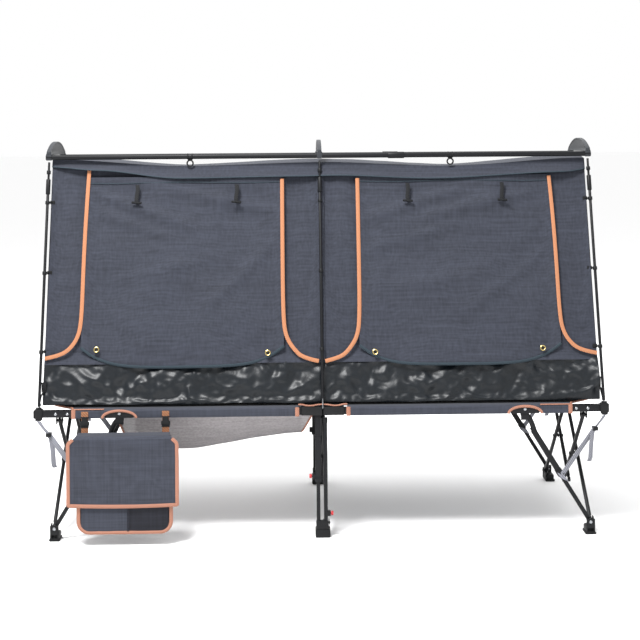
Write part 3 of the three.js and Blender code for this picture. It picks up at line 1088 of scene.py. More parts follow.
@dataclass
class ScissorFrame:
    """The rails, scissor legs, struts, feet and locks."""

    tube: float = 0.025
    link_width: float = 0.018
    link_thick: float = 0.013
    strut_sleeve: float = 0.021
    strut_tube: float = 0.015
    rail_z: float = 0.465
    rivet: float = 0.0055
    cheek_offsets: tuple[float, ...] = (-0.0115, 0.0085)
    # The adjuster's frame: two bars and two rails, each from one corner to the other.
    adjuster_bars: tuple = ((-0.009, -0.012, 0.384, 0.009, 0.012, 0.388),
                            (-0.007, -0.012, 0.392, 0.010, 0.012, 0.396),
                            (-0.009, -0.0125, 0.384, 0.010, -0.0095, 0.398),
                            (-0.009, 0.0095, 0.384, 0.010, 0.0125, 0.398))

    def build(self) -> None:
        """Builds the whole metal frame."""
        for side in Side:
            for end in End:
                self.rail(side, end)
                self.strut(side, end)
                self.foot(side, end)
                self.brace_strap(side, end)
            self.centre_joint(side)
            self.centre_leg(side)
        self.links()
        self.buttons()

    def rail(self, side: Side, end: End) -> None:
        """One rail tube with its end block, lugs, socket and rivets.

        Args:
            side: The long side.
            end: The end.
        """
        y, sx, sy = side.value * PLAN.rail_y, end.value, side.value
        name = f"{side.word}_rail_{end.word}"
        half = self.tube / 2
        tube = square_bar(name, PLAN.at(sx * 0.004, y, self.rail_z),
                          PLAN.at(sx * 1.03, y, self.rail_z), self.tube, self.tube)
        link_x = middle_of(f"{side.word}_down_link_{end.word}").x
        lugs = []
        for offset in self.cheek_offsets:
            lugs.append(bed_block("lug", (link_x + offset, sy * 0.374, 0.423),
                                  (link_x + offset + 0.003, sy * 0.3975, 0.472), 0.001))
        lugs.append(bed_block("web", (link_x - 0.0115, sy * 0.394, 0.449),
                              (link_x + 0.0115, sy * 0.3985, 0.474), 0.001))
        arch = self.strut_bracket(side, end)
        assemble(name, [tube, *lugs, arch], side.rails, POWDER_COAT, "frame_metal", [name])
        self.end_block(side, end)
        rivets = [dome("rivet", PLAN.at(sx * x, sy * (PLAN.rail_y + half), self.rail_z), (0, sy, 0),
                       self.rivet, 0.0025) for x in (0.978, 0.935)]
        assemble(f"{name}_rivets", rivets, side.rails, STEEL, "frame_metal")

    def strut_bracket(self, side: Side, end: End) -> Piece:
        """The arched bracket on the rail that a side strut turns in.

        Args:
            side: The long side.
            end: The end.

        Returns:
            The piece.
        """
        sx, sy = end.value, side.value
        x = sx * 0.745
        face = sy * (PLAN.rail_y + self.tube / 2)
        plate = bed_block("bracket", (x - 0.052, face, 0.449), (x + 0.052, face + sy * 0.003, 0.4765), 0.009)
        ear = bed_block("ear", (x - 0.015, face - sy * 0.0035, 0.424),
                        (x + 0.015, face - sy * 0.0005, 0.458), 0.004)
        return join("bracket", [plate, ear])

    def end_block(self, side: Side, end: End) -> None:
        """The moulded block that closes a rail, with its hoop socket and strap slot.

        Args:
            side: The long side.
            end: The end.
        """
        y, sx, sy = side.value * PLAN.rail_y, end.value, side.value
        name = f"{side.word}_end_block_{end.word}"
        x = sx * 1.041
        body = bed_block(name, (x - 0.0155, y - 0.0158, 0.448), (x + 0.0155, y + 0.0158, 0.482), 0.004)
        rib = bed_block("rib", (x - 0.0162 - 0.001, y - 0.0165, 0.452),
                        (x - 0.0162 + 0.004, y + 0.0165, 0.478), 0.001)
        socket = bed_rod("socket", (x, y, 0.478), (x, y + sy * -0.002, 0.4885), 0.0105, bore=0.0062)
        ear = bed_block("ear", (x - 0.011, y - 0.012, 0.440), (x + 0.011, y - 0.008, 0.452), 0.001)
        other = bed_block("ear", (x - 0.011, y + 0.008, 0.440), (x + 0.011, y + 0.012, 0.452), 0.001)
        bar = bed_rod("bar", (x, y - 0.009, 0.4425), (x, y + 0.009, 0.4425), 0.0022)
        assemble(name, [body, rib, socket, ear, other, bar], side.rails, NYLON, "black_plastic")

    def centre_joint(self, side: Side) -> None:
        """The folding joint that links the two rails of a side.

        Args:
            side: The long side.
        """
        sy = side.value
        face = sy * (PLAN.rail_y + self.tube / 2)
        name = f"{side.word}_centre_joint"
        parts = []
        for sx in (-1, 1):
            parts.append(block("cheek", PLAN.at(sx * 0.002, face + sy * 0.0006, 0.4505),
                               PLAN.at(sx * 0.078, face + sy * 0.0042, 0.4805), 0.0035))
            parts.append(block("roof", PLAN.at(sx * 0.002, face - sy * 0.026, 0.4781),
                               PLAN.at(sx * 0.078, face + sy * 0.0042, 0.4812), 0.0015))
            parts.append(block("slot", PLAN.at(sx * 0.046, face + sy * 0.003, 0.459),
                               PLAN.at(sx * 0.062, face + sy * 0.0052, 0.471), 0.0012))
        parts.append(bed_rod("knuckle", (0, face - sy * 0.024, 0.4835), (0, face + sy * 0.0042, 0.4835),
                             0.006))
        parts.append(bed_rod("socket", (0, sy * PLAN.rail_y, 0.478), (0, sy * PLAN.rail_y, 0.4885), 0.0105,
                             bore=0.0062))
        assemble(name, parts, side.rails, NYLON, "black_plastic", [name])
        hook = [ring("eye", PLAN.at(0, face + sy * 0.006, 0.4825), (1, 0, 0), 0.006, 0.0014),
                bed_rod("shank", (0, face + sy * 0.005, 0.487), (0, face + sy * 0.002, 0.512), 0.0017)]
        assemble(f"{side.word}_centre_hook", hook, side.rails, STEEL, "frame_metal")

    def links(self) -> None:
        """All twelve scissor links, with their pivot pins."""
        for station in ("left", "centre", "right"):
            for kind in ("front_down", "back_down", "front_up", "back_up"):
                self.link(kind, station)

    def link(self, kind: str, station: str) -> None:
        """One scissor link: an oval tube, flattened at its ends where the pins pass.

        Args:
            kind: The link's kind.
            station: The station along the bed.
        """
        node = f"{kind}_link_{station}"
        low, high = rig.box(node)
        inset = 0.010
        rising = kind in ("back_down", "front_up")
        near_z, far_z = (low.z + inset, high.z - inset) if rising else (high.z - inset, low.z + inset)
        x = (low.x + high.x) / 2
        start = Vector((x, low.y + inset, near_z))
        end = Vector((x, high.y - inset, far_z))
        line = (end - start).normalized()
        tube = square_bar(node, start + line * 0.012, end - line * 0.012, self.link_thick,
                          self.link_width, 0.0055, bore=False)
        parts = [tube]
        for spot in (start, end):
            parts.append(rod("eye", spot - Vector((0.0045, 0, 0)), spot + Vector((0.0045, 0, 0)), 0.0095))
            toward = line if spot == start else -line
            parts.append(square_bar("neck", spot, spot + toward * 0.03, 0.0085, 0.0155, 0.003, bore=False))
        made = assemble(node, parts, f"{kind}_links", POWDER_COAT, "frame_metal", [node])
        self.pins(made, kind, node, start, end)

    def pins(self, link: Piece, kind: str, node: str, start: Vector, end: Vector) -> None:
        """The pins that belong to a link: its outer pivot and its crossing.

        Args:
            link: The link.
            kind: The link's kind.
            node: The link's node name.
            start: The lower Y end.
            end: The higher Y end.
        """
        outer = start if kind.startswith("front") else end
        cross_y = PIVOTS["front_scissor_pivot"].y
        if kind.startswith("back"):
            cross_y = 2 * PLAN.mid_y - cross_y
        share = (cross_y - start.y) / (end.y - start.y)
        cross = start.lerp(end, share)
        mate = node.replace("down", "up") if "down" in kind else node.replace("up", "down")
        toward = 1 if middle_of(mate).x > link.data.vertices[0].co.x else -1
        along = Vector((1, 0, 0))
        parts = [rod("pin", outer - along * 0.0118, outer + along * 0.0118, 0.004)]
        parts += [dome("head", outer + along * x, along, 0.0065, 0.003) for x in (-0.0115, 0.0115)]
        if "down" in kind:
            along = along * toward
            parts.append(rod("pin", cross - along * 0.008, cross + along * 0.030, 0.0036))
            parts.append(rod("washer", cross + along * 0.0095, cross + along * 0.0125, 0.0085))
            parts += [dome("head", cross + along * x, (1, 0, 0), 0.007, 0.003) for x in (0.0295, -0.0075)]
        assemble(f"{node}_pins", parts, f"{kind}_links", NYLON, "frame_metal")

    def strut(self, side: Side, end: End) -> None:
        """A telescoping side strut: a curved upper sleeve with a collar, and a lower tube.

        Args:
            side: The long side.
            end: The end.
        """
        sy = side.value
        top = PIVOTS[f"{side.word}_strut_pivot_{end.word}"]
        foot = Vector((middle_of(f"{side.word}_foot_{end.word}").x, top.y,
                       PIVOTS[f"{side.word}_foot_pivot"].z))
        line = (foot - top).normalized()
        y = Vector((0, sy, 0))
        sleeve_name = f"{side.word}_strut_sleeve_{end.word}"
        sleeve = square_bar(sleeve_name, top + line * 0.062, top + line * 0.25, self.strut_sleeve,
                            self.strut_sleeve, 0.004)
        bend = [top + Vector((end.value * x, 0, z)) for x, z in
                ((-0.014, 0.010), (0.004, 0.009), (0.020, -0.010), (0.031, -0.036), (0.0388, -0.063))]
        neck = tape("neck", bend, 0.0098)
        eye = rod("eye", top - y * 0.0075, top + y * 0.0075, 0.0105)
        collar = square_bar("collar", top + line * 0.232, top + line * 0.256, 0.0245, 0.0245, 0.003)
        assemble(sleeve_name, [sleeve, neck, eye, collar], sleeve_name, POWDER_COAT, "frame_metal",
                   [sleeve_name])
        tube_name = f"{side.word}_strut_tube_{end.word}"
        tube = square_bar(tube_name, top + line * 0.05, foot - line * 0.012, self.strut_tube,
                          self.strut_tube, 0.003)
        foot_eye = rod("eye", foot - y * 0.0075, foot + y * 0.0075, 0.009)
        assemble(tube_name, [tube, foot_eye], tube_name, POWDER_COAT, "frame_metal", [tube_name])
        heads = [dome("head", foot + y * 0.0158, y, 0.006, 0.003),
                 rod("pin", foot - y * 0.009, foot + y * 0.0155, 0.0035)]
        assemble(f"{side.word}_strut_pin_{end.word}", heads, side.feet, STEEL, "frame_metal")
        top_pin = [dome("head", top + y * 0.0156 + Vector((0, 0, 0.029)), y, 0.006, 0.003),
                   rod("pin", top - y * 0.009, top + y * 0.0115, 0.0035)]
        assemble(f"{side.word}_strut_rivet_{end.word}", top_pin, side.rails, STEEL,
                   "frame_metal")

    def foot(self, side: Side, end: End) -> None:
        """One moulded end foot, with its lugs, a heel block and treads.

        Args:
            side: The long side.
            end: The end.
        """
        name = f"{side.word}_foot_{end.word}"
        low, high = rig.box(name)
        sy = side.value
        front = high.y if sy > 0 else low.y
        back = low.y if sy > 0 else high.y
        sole = block(name, (low.x, front, 0.0), (high.x, back, 0.009), 0.003)
        heel = block("heel", (low.x + 0.003, front, 0.006), (high.x - 0.003, back + sy * 0.004, 0.030),
                     0.006)
        cheeks = [block("cheek", (low.x + 0.004, front, 0.01), (high.x - 0.004, front - sy * 0.004, 0.058),
                        0.0018)]
        cheeks += self.pivot_cheeks(side, end.word)
        treads = [block("tread", (low.x + 0.004, front - sy * d, 0.0),
                        (high.x - 0.004, front - sy * (d + 0.004), 0.012),
                        0.001) for d in (0.010, 0.024, 0.038)]
        assemble(name, [sole, heel, *cheeks, *treads], side.feet, NYLON, "black_plastic", [name])

    def pivot_cheeks(self, side: Side, station: str) -> list[Piece]:
        """The two cheeks on a foot that a rising link turns between.

        Args:
            side: The long side.
            station: The station along the bed.

        Returns:
            The cheeks.
        """
        x = middle_of(f"{side.word}_up_link_{station}").x
        pivot = PIVOTS[f"{side.word}_foot_pivot"]
        return [block("cheek", (x + near, pivot.y - 0.011, 0.014),
                      (x + near + 0.003, pivot.y + 0.011, 0.058), 0.001)
                for near in self.cheek_offsets]

    def centre_leg(self, side: Side) -> None:
        """The centre leg: a capped post and a sliding bar on one foot, and the sleeve on the rail.

        Args:
            side: The long side.
        """
        sy = side.value
        y = sy * PLAN.rail_y
        name = f"{side.word}_centre_leg"
        slide_x, post_x = -0.018, 0.009
        foot = bed_block(name, (-0.030, sy * 0.366, 0.0), (0.025, sy * 0.424, 0.030), 0.004)
        hub = bed_block("hub", (-0.027, y - 0.0105, 0.024), (0.018, y + 0.0105, 0.062), 0.004)
        shell = bed_block("shell", (0.012, y - 0.0098, 0.0785), (0.0268, y + 0.0098, 0.0975), 0.003)
        cheeks = self.pivot_cheeks(side, "centre")
        assemble(name, [foot, hub, shell, *cheeks], side.feet, NYLON, "frame_metal", [name])
        post = bed_bar("post", (post_x, y, 0.05), (post_x, y, 0.430), 0.014, 0.014, 0.003)
        slider = bed_bar("slider", (slide_x, y, 0.05), (slide_x, y, 0.431), 0.0135, 0.0135, 0.003)
        assemble(f"{side.word}_centre_bars", [post, slider], side.feet, POWDER_COAT, "frame_metal")
        cap = bed_block(f"{side.word}_centre_cap", (post_x - 0.0085, y - 0.0085, 0.420),
                        (post_x + 0.0085, y + 0.0085, 0.440), 0.003)
        finish_off(cap, side.feet, NYLON, "black_plastic")
        sleeve_name = f"{side.word}_centre_sleeve"
        sleeve = bed_bar(sleeve_name, (slide_x, y, 0.207), (slide_x, y, 0.4515), 0.0215, 0.0215, 0.003)
        collars = [bed_block("collar", (slide_x - 0.0125, y - 0.0125, z),
                             (slide_x + 0.0125, y + 0.0125, z + 0.016), 0.002) for z in (0.205, 0.36)]
        shell = bed_block("shell", (slide_x - 0.0228, y - 0.0098, 0.2145),
                          (slide_x - 0.009, y + 0.0098, 0.2355), 0.003)
        assemble(sleeve_name, [sleeve, *collars, shell], side.rails, POWDER_COAT, "frame_metal",
                   [sleeve_name])

    def buttons(self) -> None:
        """The two red push buttons, each with a domed cap on a stem."""
        for node, sign in (("sleeve_button", -1), ("leg_button", 1)):
            low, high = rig.box(node)
            middle = (low + high) / 2
            outer = low.x if sign < 0 else high.x
            cap = rod(node, (outer + sign * 0.006, middle.y, middle.z),
                      (outer - sign * 0.003, middle.y, middle.z),
                      0.0082, round_by=0.002)
            stem = rod("stem", (outer - sign * 0.002, middle.y, middle.z),
                       (outer - sign * 0.009, middle.y, middle.z), 0.0042)
            assemble(node, [cap, stem], node, RED_PLASTIC, "button", [node])

    def brace_strap(self, side: Side, end: End) -> None:
        """A grey brace strap from the end block to the strut, with its adjuster and loose tail.

        Args:
            side: The long side.
            end: The end.
        """
        sx, sy = end.value, side.value
        y = sy * (PLAN.rail_y + 0.012)
        name = f"{side.word}_brace_{end.word}"
        across = Vector((0.0085, 0.003, 0.0035 * sx))
        adjuster = (sx * 1.003, y, 0.392)
        upper = [PLAN.at(sx * 1.039, y, 0.4405), PLAN.at(sx * 1.030, y, 0.425), PLAN.at(*adjuster)]
        top = PIVOTS[f"{side.word}_strut_pivot_{end.word}"]
        line = Vector((sx * 0.5241, 0, -0.8517))
        grip = top + line * 0.262 + Vector((0, sy * 0.012, 0))
        lower = [PLAN.at(*adjuster), PLAN.at(sx * 0.955, y, 0.325), grip + Vector((0, 0, 0.012)), grip]
        turn = Vector((0.0068, 0.003, -0.0062 * sx))
        straps = [ribbon(name, upper, across, 0.0016), ribbon("strap", lower, turn, 0.0016)]
        loop = [grip + Vector((dx * 0.0145, dy, dz * 0.010)) for dx, dy, dz in
                ((-1, 0, 0.6), (1, 0, -0.6), (1, -sy * 0.027, -0.6), (-1, -sy * 0.027, 0.6), (-1, 0, 0.6))]
        straps.append(ribbon("loop", loop, line * 0.012, 0.0015))
        tail = [PLAN.at(*adjuster), PLAN.at(sx * 0.994, y, 0.375),
                PLAN.at(sx * 0.988, y + sy * 0.004, 0.335),
                PLAN.at(sx * 0.985, y + sy * 0.003, 0.285), PLAN.at(sx * 0.981, y, 0.27)]
        straps.append(ribbon("tail", tail, Vector((0.0085, 0.003, 0)), 0.0016))
        assemble(name, straps, side.rails, GREY_WEBBING, "webbing")
        lock = [bed_block("bar", (adjuster[0] + x0, y + y0, z0), (adjuster[0] + x1, y + y1, z1), 0.001)
                for x0, y0, z0, x1, y1, z1 in self.adjuster_bars]
        assemble(f"{name}_adjuster", lock, side.rails, NYLON, "black_plastic")


@dataclass
class Hoops:
    """The three hoops that the tent hangs in, with their crowns and shoulder poles."""

    leg_radius: float = 0.0055
    grip_radius: float = 0.0085
    clip_heights: tuple[float, ...] = (0.683, 0.968, 1.23)
    grip_low: float = 1.262
    grip_high: float = 1.318
    ferrule: tuple[float, float] = (0.265, 0.327)
    ring_xs: tuple[float, ...] = (-0.507, 0.498)

    def build(self) -> None:
        """Builds the legs, the crowns, the poles and the rings on them."""
        stations = (("left", -PLAN.hoop_x), ("centre", 0.0), ("right", PLAN.hoop_x))
        for side in Side:
            for word, x in stations:
                self.leg(side, word, x)
            self.pole(side)
        for word, x in stations:
            self.crown(word, x)

    def leg(self, side: Side, word: str, x: float) -> None:
        """One hoop leg with its folding grip, joint knob and clips to the cloth.

        Args:
            side: The long side.
            word: The hoop's word in node names.
            x: The place along the bed.
        """
        name = f"{side.word}_hoop_leg_{word}"
        foot, shoulder = PLAN.on_leg(side, x, 0.4905), PLAN.on_leg(side, x, 1.383)
        lower = rod(name, foot, PLAN.on_leg(side, x, self.grip_low), self.leg_radius)
        upper = rod("upper", PLAN.on_leg(side, x, self.grip_high), shoulder, self.leg_radius * 0.8)
        grip = rod("grip", PLAN.on_leg(side, x, self.grip_low), PLAN.on_leg(side, x, self.grip_high),
                   self.grip_radius, bore=self.leg_radius, round_by=0.0015)
        knob = rod("knob", PLAN.on_leg(side, x, 1.338), PLAN.on_leg(side, x, 1.352), 0.0078, round_by=0.002)
        body = side.hoops
        assemble(name, [lower, upper, grip, knob], body, POWDER_COAT, "frame_metal", [name])
        inward = 0.0 if word == "centre" else -math.copysign(1, x)
        for number, z in enumerate(self.clip_heights):
            spot = PLAN.on_leg(side, x, z)
            wall = PLAN.on_wall(side, x + inward * 0.016, z)
            band = rod("band", PLAN.on_leg(side, x, z - 0.006), PLAN.on_leg(side, x, z + 0.006), 0.0085,
                       round_by=0.001)
            reach = rod("reach", spot, wall, 0.0035)
            tab = block("tab", wall + Vector((-0.009, -0.003, -0.007)), wall + Vector((0.009, 0.003, 0.007)),
                        0.002)
            assemble(f"{name}_clip_{number}", [band, reach, tab], body, NYLON, "black_plastic")

    def crown(self, word: str, x: float) -> None:
        """One crown plate: a thin half lens over the poles, with raised rims and pole saddles.

        Args:
            word: The hoop's word in node names.
            x: The place along the bed.
        """
        name = f"crown_{word}"
        low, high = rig.box(name)
        half = (high.y - low.y) / 2 - 0.001
        rise = 0.040
        radius = (half * half + rise * rise) / (2 * rise)
        swing = math.asin(half / radius)
        hub = high.z - radius
        edge = []
        for i in range(25):
            angle = -swing + 2 * swing * i / 24
            edge.append((PLAN.mid_y + radius * math.sin(angle), hub + radius * math.cos(angle)))
        deselect()
        bpy.ops.mesh.primitive_circle_add(vertices=27, fill_type="NGON", location=(0, 0, 0))
        piece = settle(name)
        outline = [*edge, (PLAN.mid_y + half, low.z), (PLAN.mid_y - half, low.z)]
        for vertex, (y, z) in zip(piece.data.vertices, outline):
            vertex.co = (x, y, z)
        modify(piece, "SOLIDIFY", thickness=0.016, offset=0.0)
        sink(piece, lambda face: abs(face.normal.x) > 0.9, 0.005, 0.002, slope=0.001)
        soften(piece, 0.0012)
        parts = [piece]
        for sy in (-1, 1):
            parts.append(bed_block("saddle", (x - 0.011, sy * (PLAN.pole_y - 0.011), PLAN.pole_z - 0.011),
                                   (x + 0.011, sy * (PLAN.pole_y + 0.011), PLAN.pole_z + 0.016), 0.004))
        assemble(name, parts, "top_frame", CROWN_GREY, "crown_cap", [name])

    def pole(self, side: Side) -> None:
        """One shoulder pole with its ferrule, end caps and the rings that the tent hangs on.

        Args:
            side: The long side.
        """
        name = f"{side.word}_shoulder_pole"
        y = side.value * PLAN.pole_y
        low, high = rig.box(name)

        def at(x: float, z: float = PLAN.pole_z) -> Vector:
            """A point on the pole's middle line, or under it."""
            return PLAN.at(x, y, z)

        parts = [rod(name, at(low.x + 0.004), at(high.x - 0.004), PLAN.pole_radius * 1.1, sides=28)]
        parts.append(rod("ferrule", at(self.ferrule[0]), at(self.ferrule[1]), PLAN.pole_radius * 1.4,
                         sides=28))
        parts += [rod("cap", at(x), at(x + math.copysign(0.022, -x)), PLAN.pole_radius * 1.3, sides=28,
                      round_by=0.002) for x in (low.x, high.x)]
        assemble(name, parts, "top_frame", POWDER_COAT, "frame_metal", [name])
        if side is Side.BACK:
            return
        rings = []
        for x in self.ring_xs:
            rings.append(ring("band", at(x), (1, 0, 0), PLAN.pole_radius + 0.001, 0.0026))
            rings.append(ring("band", at(x + 0.016), (1, 0, 0), PLAN.pole_radius + 0.001, 0.0026))
            rings.append(rod("bridge", at(x, PLAN.pole_z - 0.012), at(x + 0.016, PLAN.pole_z - 0.012),
                             0.0026))
            rings.append(ring("hook", at(x + 0.008, PLAN.pole_z - 0.026), (0, 1, 0), 0.0115, 0.003))
        assemble(f"{name}_rings", rings, "top_frame", NYLON, "black_plastic")


@dataclass
class Tent:
    """The hung tent: walls, doors, roof, valances, tub band and their trim."""

    half: float = 1.030
    tub_low: float = 0.492
    tub_high: float = 0.650
    door_inner: float = 0.145
    door_outer: float = 0.892
    hole_low: float = 0.700
    hole_high: float = 1.300
    cloth: float = 0.0012
    # Soft folds in each door: two ends as shares of its width and height, then how proud they stand.
    door_folds: tuple = (
        ((0.97, 0.92, 0.52, 0.75, 0.0085), (0.64, 0.96, 0.03, 0.80, 0.0080),
         (0.92, 0.80, 0.60, 0.68, 0.0055),
         (0.34, 0.34, 0.04, 0.62, 0.0045), (0.80, 0.45, 0.40, 0.55, 0.0035)),
        ((0.05, 0.76, 0.52, 0.93, 0.0080), (0.42, 0.79, 0.95, 0.92, 0.0075),
         (0.10, 0.60, 0.46, 0.72, 0.0050),
         (0.60, 0.32, 0.95, 0.56, 0.0045), (0.20, 0.40, 0.55, 0.46, 0.0035)),
    )
    # The top edge dips between the poles' rings, and the valance's lower edge waves.
    top_edge: tuple = ((-1.03, 1.392), (-0.52, 1.363), (0.0, 1.374), (0.5, 1.357), (1.03, 1.384))
    valance_edge: tuple = ((-1.03, 1.366), (-0.86, 1.352), (-0.54, 1.319), (-0.06, 1.324),
                           (0.06, 1.326), (0.43, 1.312), (0.97, 1.334), (1.03, 1.345))

    def build(self) -> None:
        """Builds the whole tent."""
        for side in Side:
            self.long_wall(side)
            self.tub_side(side)
            self.valance(side)
        for end in End:
            self.door(end)
            self.door_trim(end)
            self.end_wall(end)
            for side in Side:
                self.corner_tie(side, end)
        self.roof()
        self.centre_tie()

    def along(self, u: float) -> float:
        """The place along the bed at a share of the tent's length."""
        return -self.half + 2 * self.half * u

    def top_at(self, x: float) -> float:
        """The height of the cloth's top edge."""
        return wave_between(x, self.top_edge)

    def long_wall(self, side: Side) -> None:
        """A long leaning wall. The front one has two doorways.

        Args:
            side: The long side.
        """
        node = f"tent_{side.word}_wall"

        def place(u: float, v: float) -> Vector:
            """Places a point of the sheet.

            Args:
                u: The share across.
                v: The share along.

            Returns:
                The point.
            """
            x = self.along(u)
            z = self.tub_high - 0.016 + (self.top_at(x) - self.tub_high + 0.016) * v
            pull = 0.004 * math.sin(math.pi * v) * (abs(x) / self.half) ** 6
            return PLAN.on_wall(side, x - math.copysign(pull, x), z)

        def folds(p: Vector) -> float:
            """How proud the soft folds stand at a point.

            Args:
                p: A point of the sheet.

            Returns:
                The value, in metres.
            """
            ease = min(1.0, 14 * abs(1.385 - p.z), 20 * abs(p.z - self.tub_high) + 0.1)
            return ease * (0.007 * ripple(p.x * 3.6, side.value, p.z * 0.5, 3.2)
                           + 0.003 * crease(p.x * 0.6, p.z * 0.2, 5))

        def keep(u: float, v: float) -> bool:
            """Says whether a cell is cloth, and no doorway.

            Args:
                u: The share across.
                v: The share along.

            Returns:
                True where there is cloth.
            """
            if side is Side.BACK:
                return True
            x = abs(self.along(u))
            z = self.tub_high + (1.37 - self.tub_high) * v
            return not (self.door_inner + 0.02 < x < self.door_outer - 0.02
                        and self.hole_low < z < self.hole_high)

        wall = grid(node, 172, 60, place, keep)
        edge = self.half - 0.01
        drape(wall,
              lambda p: 1.0 if abs(p.x) > edge or p.z > 1.345 or p.z < self.tub_high or abs(p.x) < 0.012
              else 0.0, 0.004, frames=10, cap=0.008)
        crumple(wall, folds, Vector((0, side.value, LEAN)))
        thicken(wall, self.cloth)
        finish_off(wall, side.hoops, CANVAS, "canvas", [node])
        height = (1.37 - self.tub_high) / math.cos(math.atan(0.283))
        holes = 0 if side is Side.BACK else 2 * (self.door_outer - self.door_inner - 0.04) * 0.62
        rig.sheet(wall, flat=(2 * self.half, height), held="hung", rests_on=[f"{side.word}_shoulder_pole"],
                 area=2 * self.half * height - holes)

    def tub_side(self, side: Side) -> None:
        """The slick black band along the foot of a long wall, slack and crumpled.

        Args:
            side: The long side.
        """
        def place(u: float, v: float) -> Vector:
            """Places a point of the sheet.

            Args:
                u: The share across.
                v: The share along.

            Returns:
                The point.
            """
            x = self.along(u)
            z = self.tub_low + (self.tub_high - self.tub_low) * v
            belly = 0.012 * math.sin(math.pi * v) * (1 + ripple(x, 5, z, 6))
            lift = 0.004 * ripple(x, 7, 0, 5) * (1 - v)
            return PLAN.on_wall(side, x, z + lift, belly - 0.003)

        def creases(p: Vector) -> float:
            """How proud the creases stand at a point."""
            share = (p.z - self.tub_low) / (self.tub_high - self.tub_low)
            return 0.0085 * crease(p.x, p.z, side.value) * math.sin(math.pi * min(1, max(0, share))) ** 0.6

        tub = grid(f"tub_band_{side.word}", 230, 22, place)
        drape(tub, lambda p: 1.0 if p.z > self.tub_high - 0.006 or p.z < self.tub_low + 0.008
              or abs(p.x) > self.half - 0.006 else 0.0, 0.030, frames=14, cap=0.014, weight=0.6)
        crumple(tub, creases, Vector((0, side.value, LEAN)))
        thicken(tub, 0.001, levels=1)
        finish_off(tub, side.hoops, TUB_CLOTH, "canvas")
        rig.sheet(tub, flat=(2 * self.half, 0.170), held="hung", rests_on=[f"tent_{side.word}_wall"])

    def valance(self, side: Side) -> None:
        """The rain flap that hangs over the top of a long wall, with a wavy lower edge.

        Args:
            side: The long side.
        """
        def place(u: float, v: float) -> Vector:
            """Places a point of the sheet.

            Args:
                u: The share across.
                v: The share along.

            Returns:
                The point.
            """
            x = self.along(u)
            top, low = self.top_at(x) + 0.002, wave_between(x, self.valance_edge)
            z = top + (low - top) * v
            lift = v * v * (0.017 + 0.010 * ripple(x, 1, side.value, 4)) * min(1,
                    12 * (1.03 - abs(x)) + 0.15)
            return PLAN.on_wall(side, x, z, 0.0035 + lift)

        flap = grid(f"valance_{side.word}", 150, 7, place)
        thicken(flap, self.cloth, levels=1)
        finish_off(flap, side.hoops, CANVAS, "canvas")
        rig.sheet(flap, flat=(2 * self.half, 0.046), held="hung", rests_on=[f"tent_{side.word}_wall"])
        edge = [place(i / 40, 1.0) for i in range(41)]
        finish_off(tape(f"valance_hem_{side.word}", edge, 0.0022), side.hoops, HEM_TAPE, "canvas")

    def hem_at(self, share: float) -> float:
        """The height of a door's lower hem, at a share of its width."""
        side = abs(2 * share - 1)
        return 0.627 + 0.068 * side**4.5

    def fold(self, end: End, u: float, v: float) -> float:
        """How proud a door's soft folds stand at two shares of its width and height.

        Args:
            end: The end.
            u: The share of the door's width.
            v: The share of the door's height.

        Returns:
            How far they stand proud.
        """
        total = 0.0
        for u0, v0, u1, v1, proud in self.door_folds[0 if end is End.LEFT else 1]:
            start, run = Vector((u0, v0)), Vector((u1 - u0, v1 - v0))
            share = (Vector((u, v)) - start).dot(run) / run.length_squared
            past = max(0.0, -share, share - 1) * run.length
            off = (Vector((u, v)) - start - run * share).length
            total += 1.25 * proud * math.exp(-((off / 0.034) ** 2) - (past / 0.09) ** 2)
        return total

    def door(self, end: End) -> None:
        """A door flap: a slack panel with soft diagonal wrinkles and a hem that sags over the tub.

        Args:
            end: The end.
        """
        name = f"tent_door_{end.word}"
        body = f"door_{end.word}"
        sx = end.value

        def place(u: float, v: float) -> Vector:
            """Places a point of the sheet.

            Args:
                u: The share across.
                v: The share along.

            Returns:
                The point.
            """
            x = sx * (self.door_inner - 0.004 + (self.door_outer - self.door_inner + 0.008) * u)
            top = PIVOTS[f"door_{end.word}_lift"].z + 0.002
            z = self.hem_at(u) + (top - self.hem_at(u)) * v
            bulge = math.sin(math.pi * u) * (1 - v) * 0.012
            return PLAN.front(x, z, 0.009 + bulge)

        def folds(p: Vector) -> float:
            """How proud the soft folds stand at a point.

            Args:
                p: A point of the sheet.

            Returns:
                The value, in metres.
            """
            u = min(1, max(0, (abs(p.x) - self.door_inner) / (self.door_outer - self.door_inner)))
            low = self.hem_at(u)
            v = min(1, max(0, (p.z - low) / (PIVOTS[f"door_{end.word}_lift"].z - low)))
            ease = min(1, 9 * u, 9 * (1 - u)) * min(1, 8 * (1 - v) + 0.05)
            wide = 0.009 * ripple(p.x * 0.8 + p.z * 1.6, sx * 2, p.z * 0.7 - p.x * 1.2, 3.4)
            sharp = 0.003 * crease(p.x * 0.35, p.z * 0.35, sx * 3 + 9)
            return (wide + sharp + self.fold(end, u, v)) * ease

